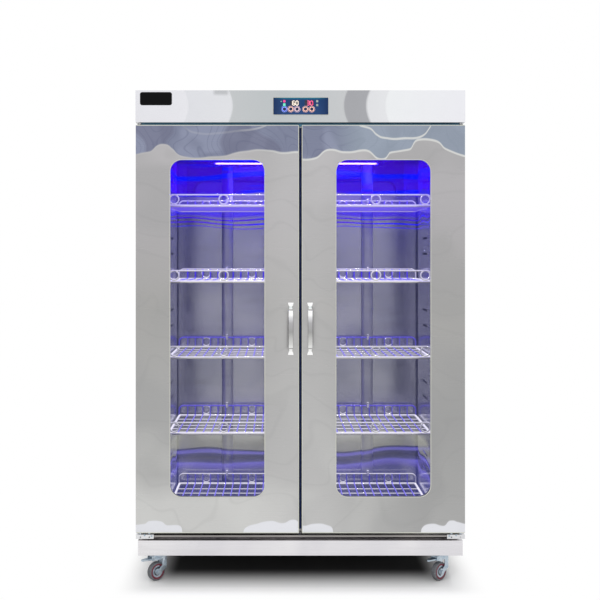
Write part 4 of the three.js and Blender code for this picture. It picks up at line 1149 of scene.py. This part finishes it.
def next_marks(rows):
    """A face takes the mark of its first point, so rows in reverse order take the next one's."""
    return [(r, y, rows[min(i + 1, len(rows) - 1)][2]) for i, (r, y, _) in enumerate(rows)]


def caster_wheel(corner):
    """Grey tread on a dark red ring, a bright dished face, a dark ring and a bearing boss."""
    to_row = caster_place(corner)
    side = [
        (34.0, 6.0, 0), (33.6, 8.0, 0), (32.0, 9.6, 0), (29.0, 10.6, 0), (28.2, 10.4, 1), (27.6, 10.9, 1),
        (23.5, 10.2, 1), (21.6, 9.6, 2), (21.0, 9.9, 2), (18.5, 9.2, 2), (15.6, 8.8, 2), (15.2, 9.4, 3),
        (12.6, 9.6, 3), (11.8, 11.0, 2), (8.6, 12.4, 2), (4.8, 12.5, 2),
    ]
    tread = [(34.0, 2.6, 0), (33.5, 2.2, 0), (33.5, 1.6, 0), (34.0, 1.2, 0)]
    back = next_marks([(r, -y, m) for r, y, m in reversed(side + tread)])

    def place(across, up, along):
        return to_row((TRAIL + across, along, WHEEL_RADIUS + up))

    shape = turned(next_marks(side[::-1]) + tread + back, 48, place, closed=True)
    finishes = [tread_finish, ring_finish, zinc_finish, dark_ring_finish]
    kept = {"replaces": [f"{corner}_caster_wheel"], "crease": 50}
    piece(f"{corner}_wheel_set", shape, finishes, f"{corner}_wheel", "wheel_polymer", **kept)


def axle_nuts(corner):
    to_row = caster_place(corner)
    parts = []
    for out in (-1, 1):
        rings = []
        for reach, radius in ((15.4, 7.4), (16.0, 7.8), (19.4, 7.8), (20.2, 7.0), (20.3, 4.0)):
            ring = []
            for i in range(24):
                angle = i * FULL_TURN / 24 * out
                flat = math.cos(math.pi / 6) / math.cos((angle + math.pi / 6) % (math.pi / 3) - math.pi / 6)
                r = radius * (flat if radius > 4 else 1)
                x, z = TRAIL + r * math.cos(angle), WHEEL_RADIUS + r * math.sin(angle)
                ring.append(to_row((x, out * reach, z)))
            rings.append(ring)
        parts.append(skin(rings))
    piece(f"{corner}_axle_nuts", merged(parts), [zinc_finish], f"{corner}_swivel", "zinc", crease=25)


def caster_bolts(corner):
    """Four bolt heads under the mounting plate's corners."""
    to_row = caster_place(corner)
    places = [to_row((sx * 34, sy * 24, 103.1)) for sx in (-1, 1) for sy in (-1, 1)]
    screws(f"{corner}_plate_bolts", places, (0, 0, -1), 4.5, 2.6)


for corner in CASTERS:
    caster_wheel(corner)
    axle_nuts(corner)
    caster_bolts(corner)


# --- Floor, sky and lamps ---
def seen_share(add):
    """1 where the backdrop is seen directly, in gloss or through glass, and 0 where it only gives light."""
    path = add("LightPath", output=None)
    beyond = add("MAXIMUM", path["Is Glossy Ray"], path["Is Transmission Ray"])
    return add("MAXIMUM", path["Is Camera Ray"], beyond)


def floor():
    """Plain white floor that fades to the white backdrop; a shade under the cabinet deepens its own
    shadow."""
    made, add, shader = surface("studio_floor", "F4F4F4", 0.0, 0.9, Specular_IOR_Level=0.0)
    across, back, _ = add("SeparateXYZ", output=None)
    aside = add("ABSOLUTE", across)
    beside = add("MapRange", aside, 0.6, 0.46, **EASED)
    ahead = add("MapRange", back, -0.345, -0.09, **EASED)
    behind = add("MapRange", back, 0.42, 0.25, **EASED)
    shade = add("MULTIPLY", add("MULTIPLY", beside, ahead), behind)
    near = add(
        "MULTIPLY", add("MapRange", aside, 0.68, 0.54, **EASED), add("MapRange", back, -0.42, -0.3, **EASED)
    )
    near = add("MULTIPLY", near, add("MapRange", back, 0.6, 0.35, **EASED))
    far = add("SUBTRACT", 1.0, near)
    dark = add("MAXIMUM", add("MULTIPLY", shade, 0.97), far)
    feed(shader, Base_Color=add("Mix", dark, "F8F8F8", "020202"))
    seen = seen_share(add)
    glow = add("MULTIPLY", seen, far)
    feed(shader, Emission_Color="FFFFFF", Emission_Strength=glow)
    mesh = mesh_of(
        "studio_floor_plane", [(-20, -20, 0), (20, -20, 0), (20, 20, 0), (-20, 20, 0)], [(0, 1, 2, 3)]
    )
    mesh.materials.append(made)
    plane = bpy.data.objects.new("studio_floor_plane", mesh)
    plane.location.z = -0.0005
    bpy.context.scene.collection.objects.link(plane)


def sky():
    """White to the eye and in gloss, softer as a light."""
    world = bpy.data.worlds.new("studio_sky")
    world.use_nodes = True
    world.node_tree.nodes.clear()
    add = adder(world.node_tree)
    strength = add("MULTIPLY_ADD", seen_share(add), 0.4, 0.6)
    add("OutputWorld", add("Background", Color="FFFFFF", Strength=strength), output=None)
    bpy.context.scene.world = world


def area_lamp(name, place, target, size, energy, colour="FFFFFF"):
    data = bpy.data.lights.new(name, "AREA")
    data.shape = "RECTANGLE"
    data.size, data.size_y = size
    data.energy = energy
    data.color = linear(colour)[:3]
    made = bpy.data.objects.new(name, data)
    made.location = place
    made.rotation_euler = (Vector(target) - Vector(place)).to_track_quat("-Z", "Y").to_euler()
    made.visible_glossy = False
    made.visible_camera = False
    bpy.context.scene.collection.objects.link(made)


floor()
sky()
area_lamp("key_softbox", (-2.6, -4.2, 3.4), (0, 0, 0.9), (2.4, 2.4), 60)
area_lamp("fill_softbox", (3.2, -3.6, 2.2), (0, 0, 0.9), (2.0, 2.4), 32)
area_lamp("back_softbox", (1.0, 4.2, 3.2), (0, 0, 0.9), (2.6, 2.0), 50)
area_lamp("front_softbox", (0, -2.4, 1.1), (0, 0, 1.0), (1.6, 1.6), 24)
area_lamp("tube_light", at(0, 315, 1590), at(0, 330, 0), (0.7, 0.05), 6, "4A20FF")
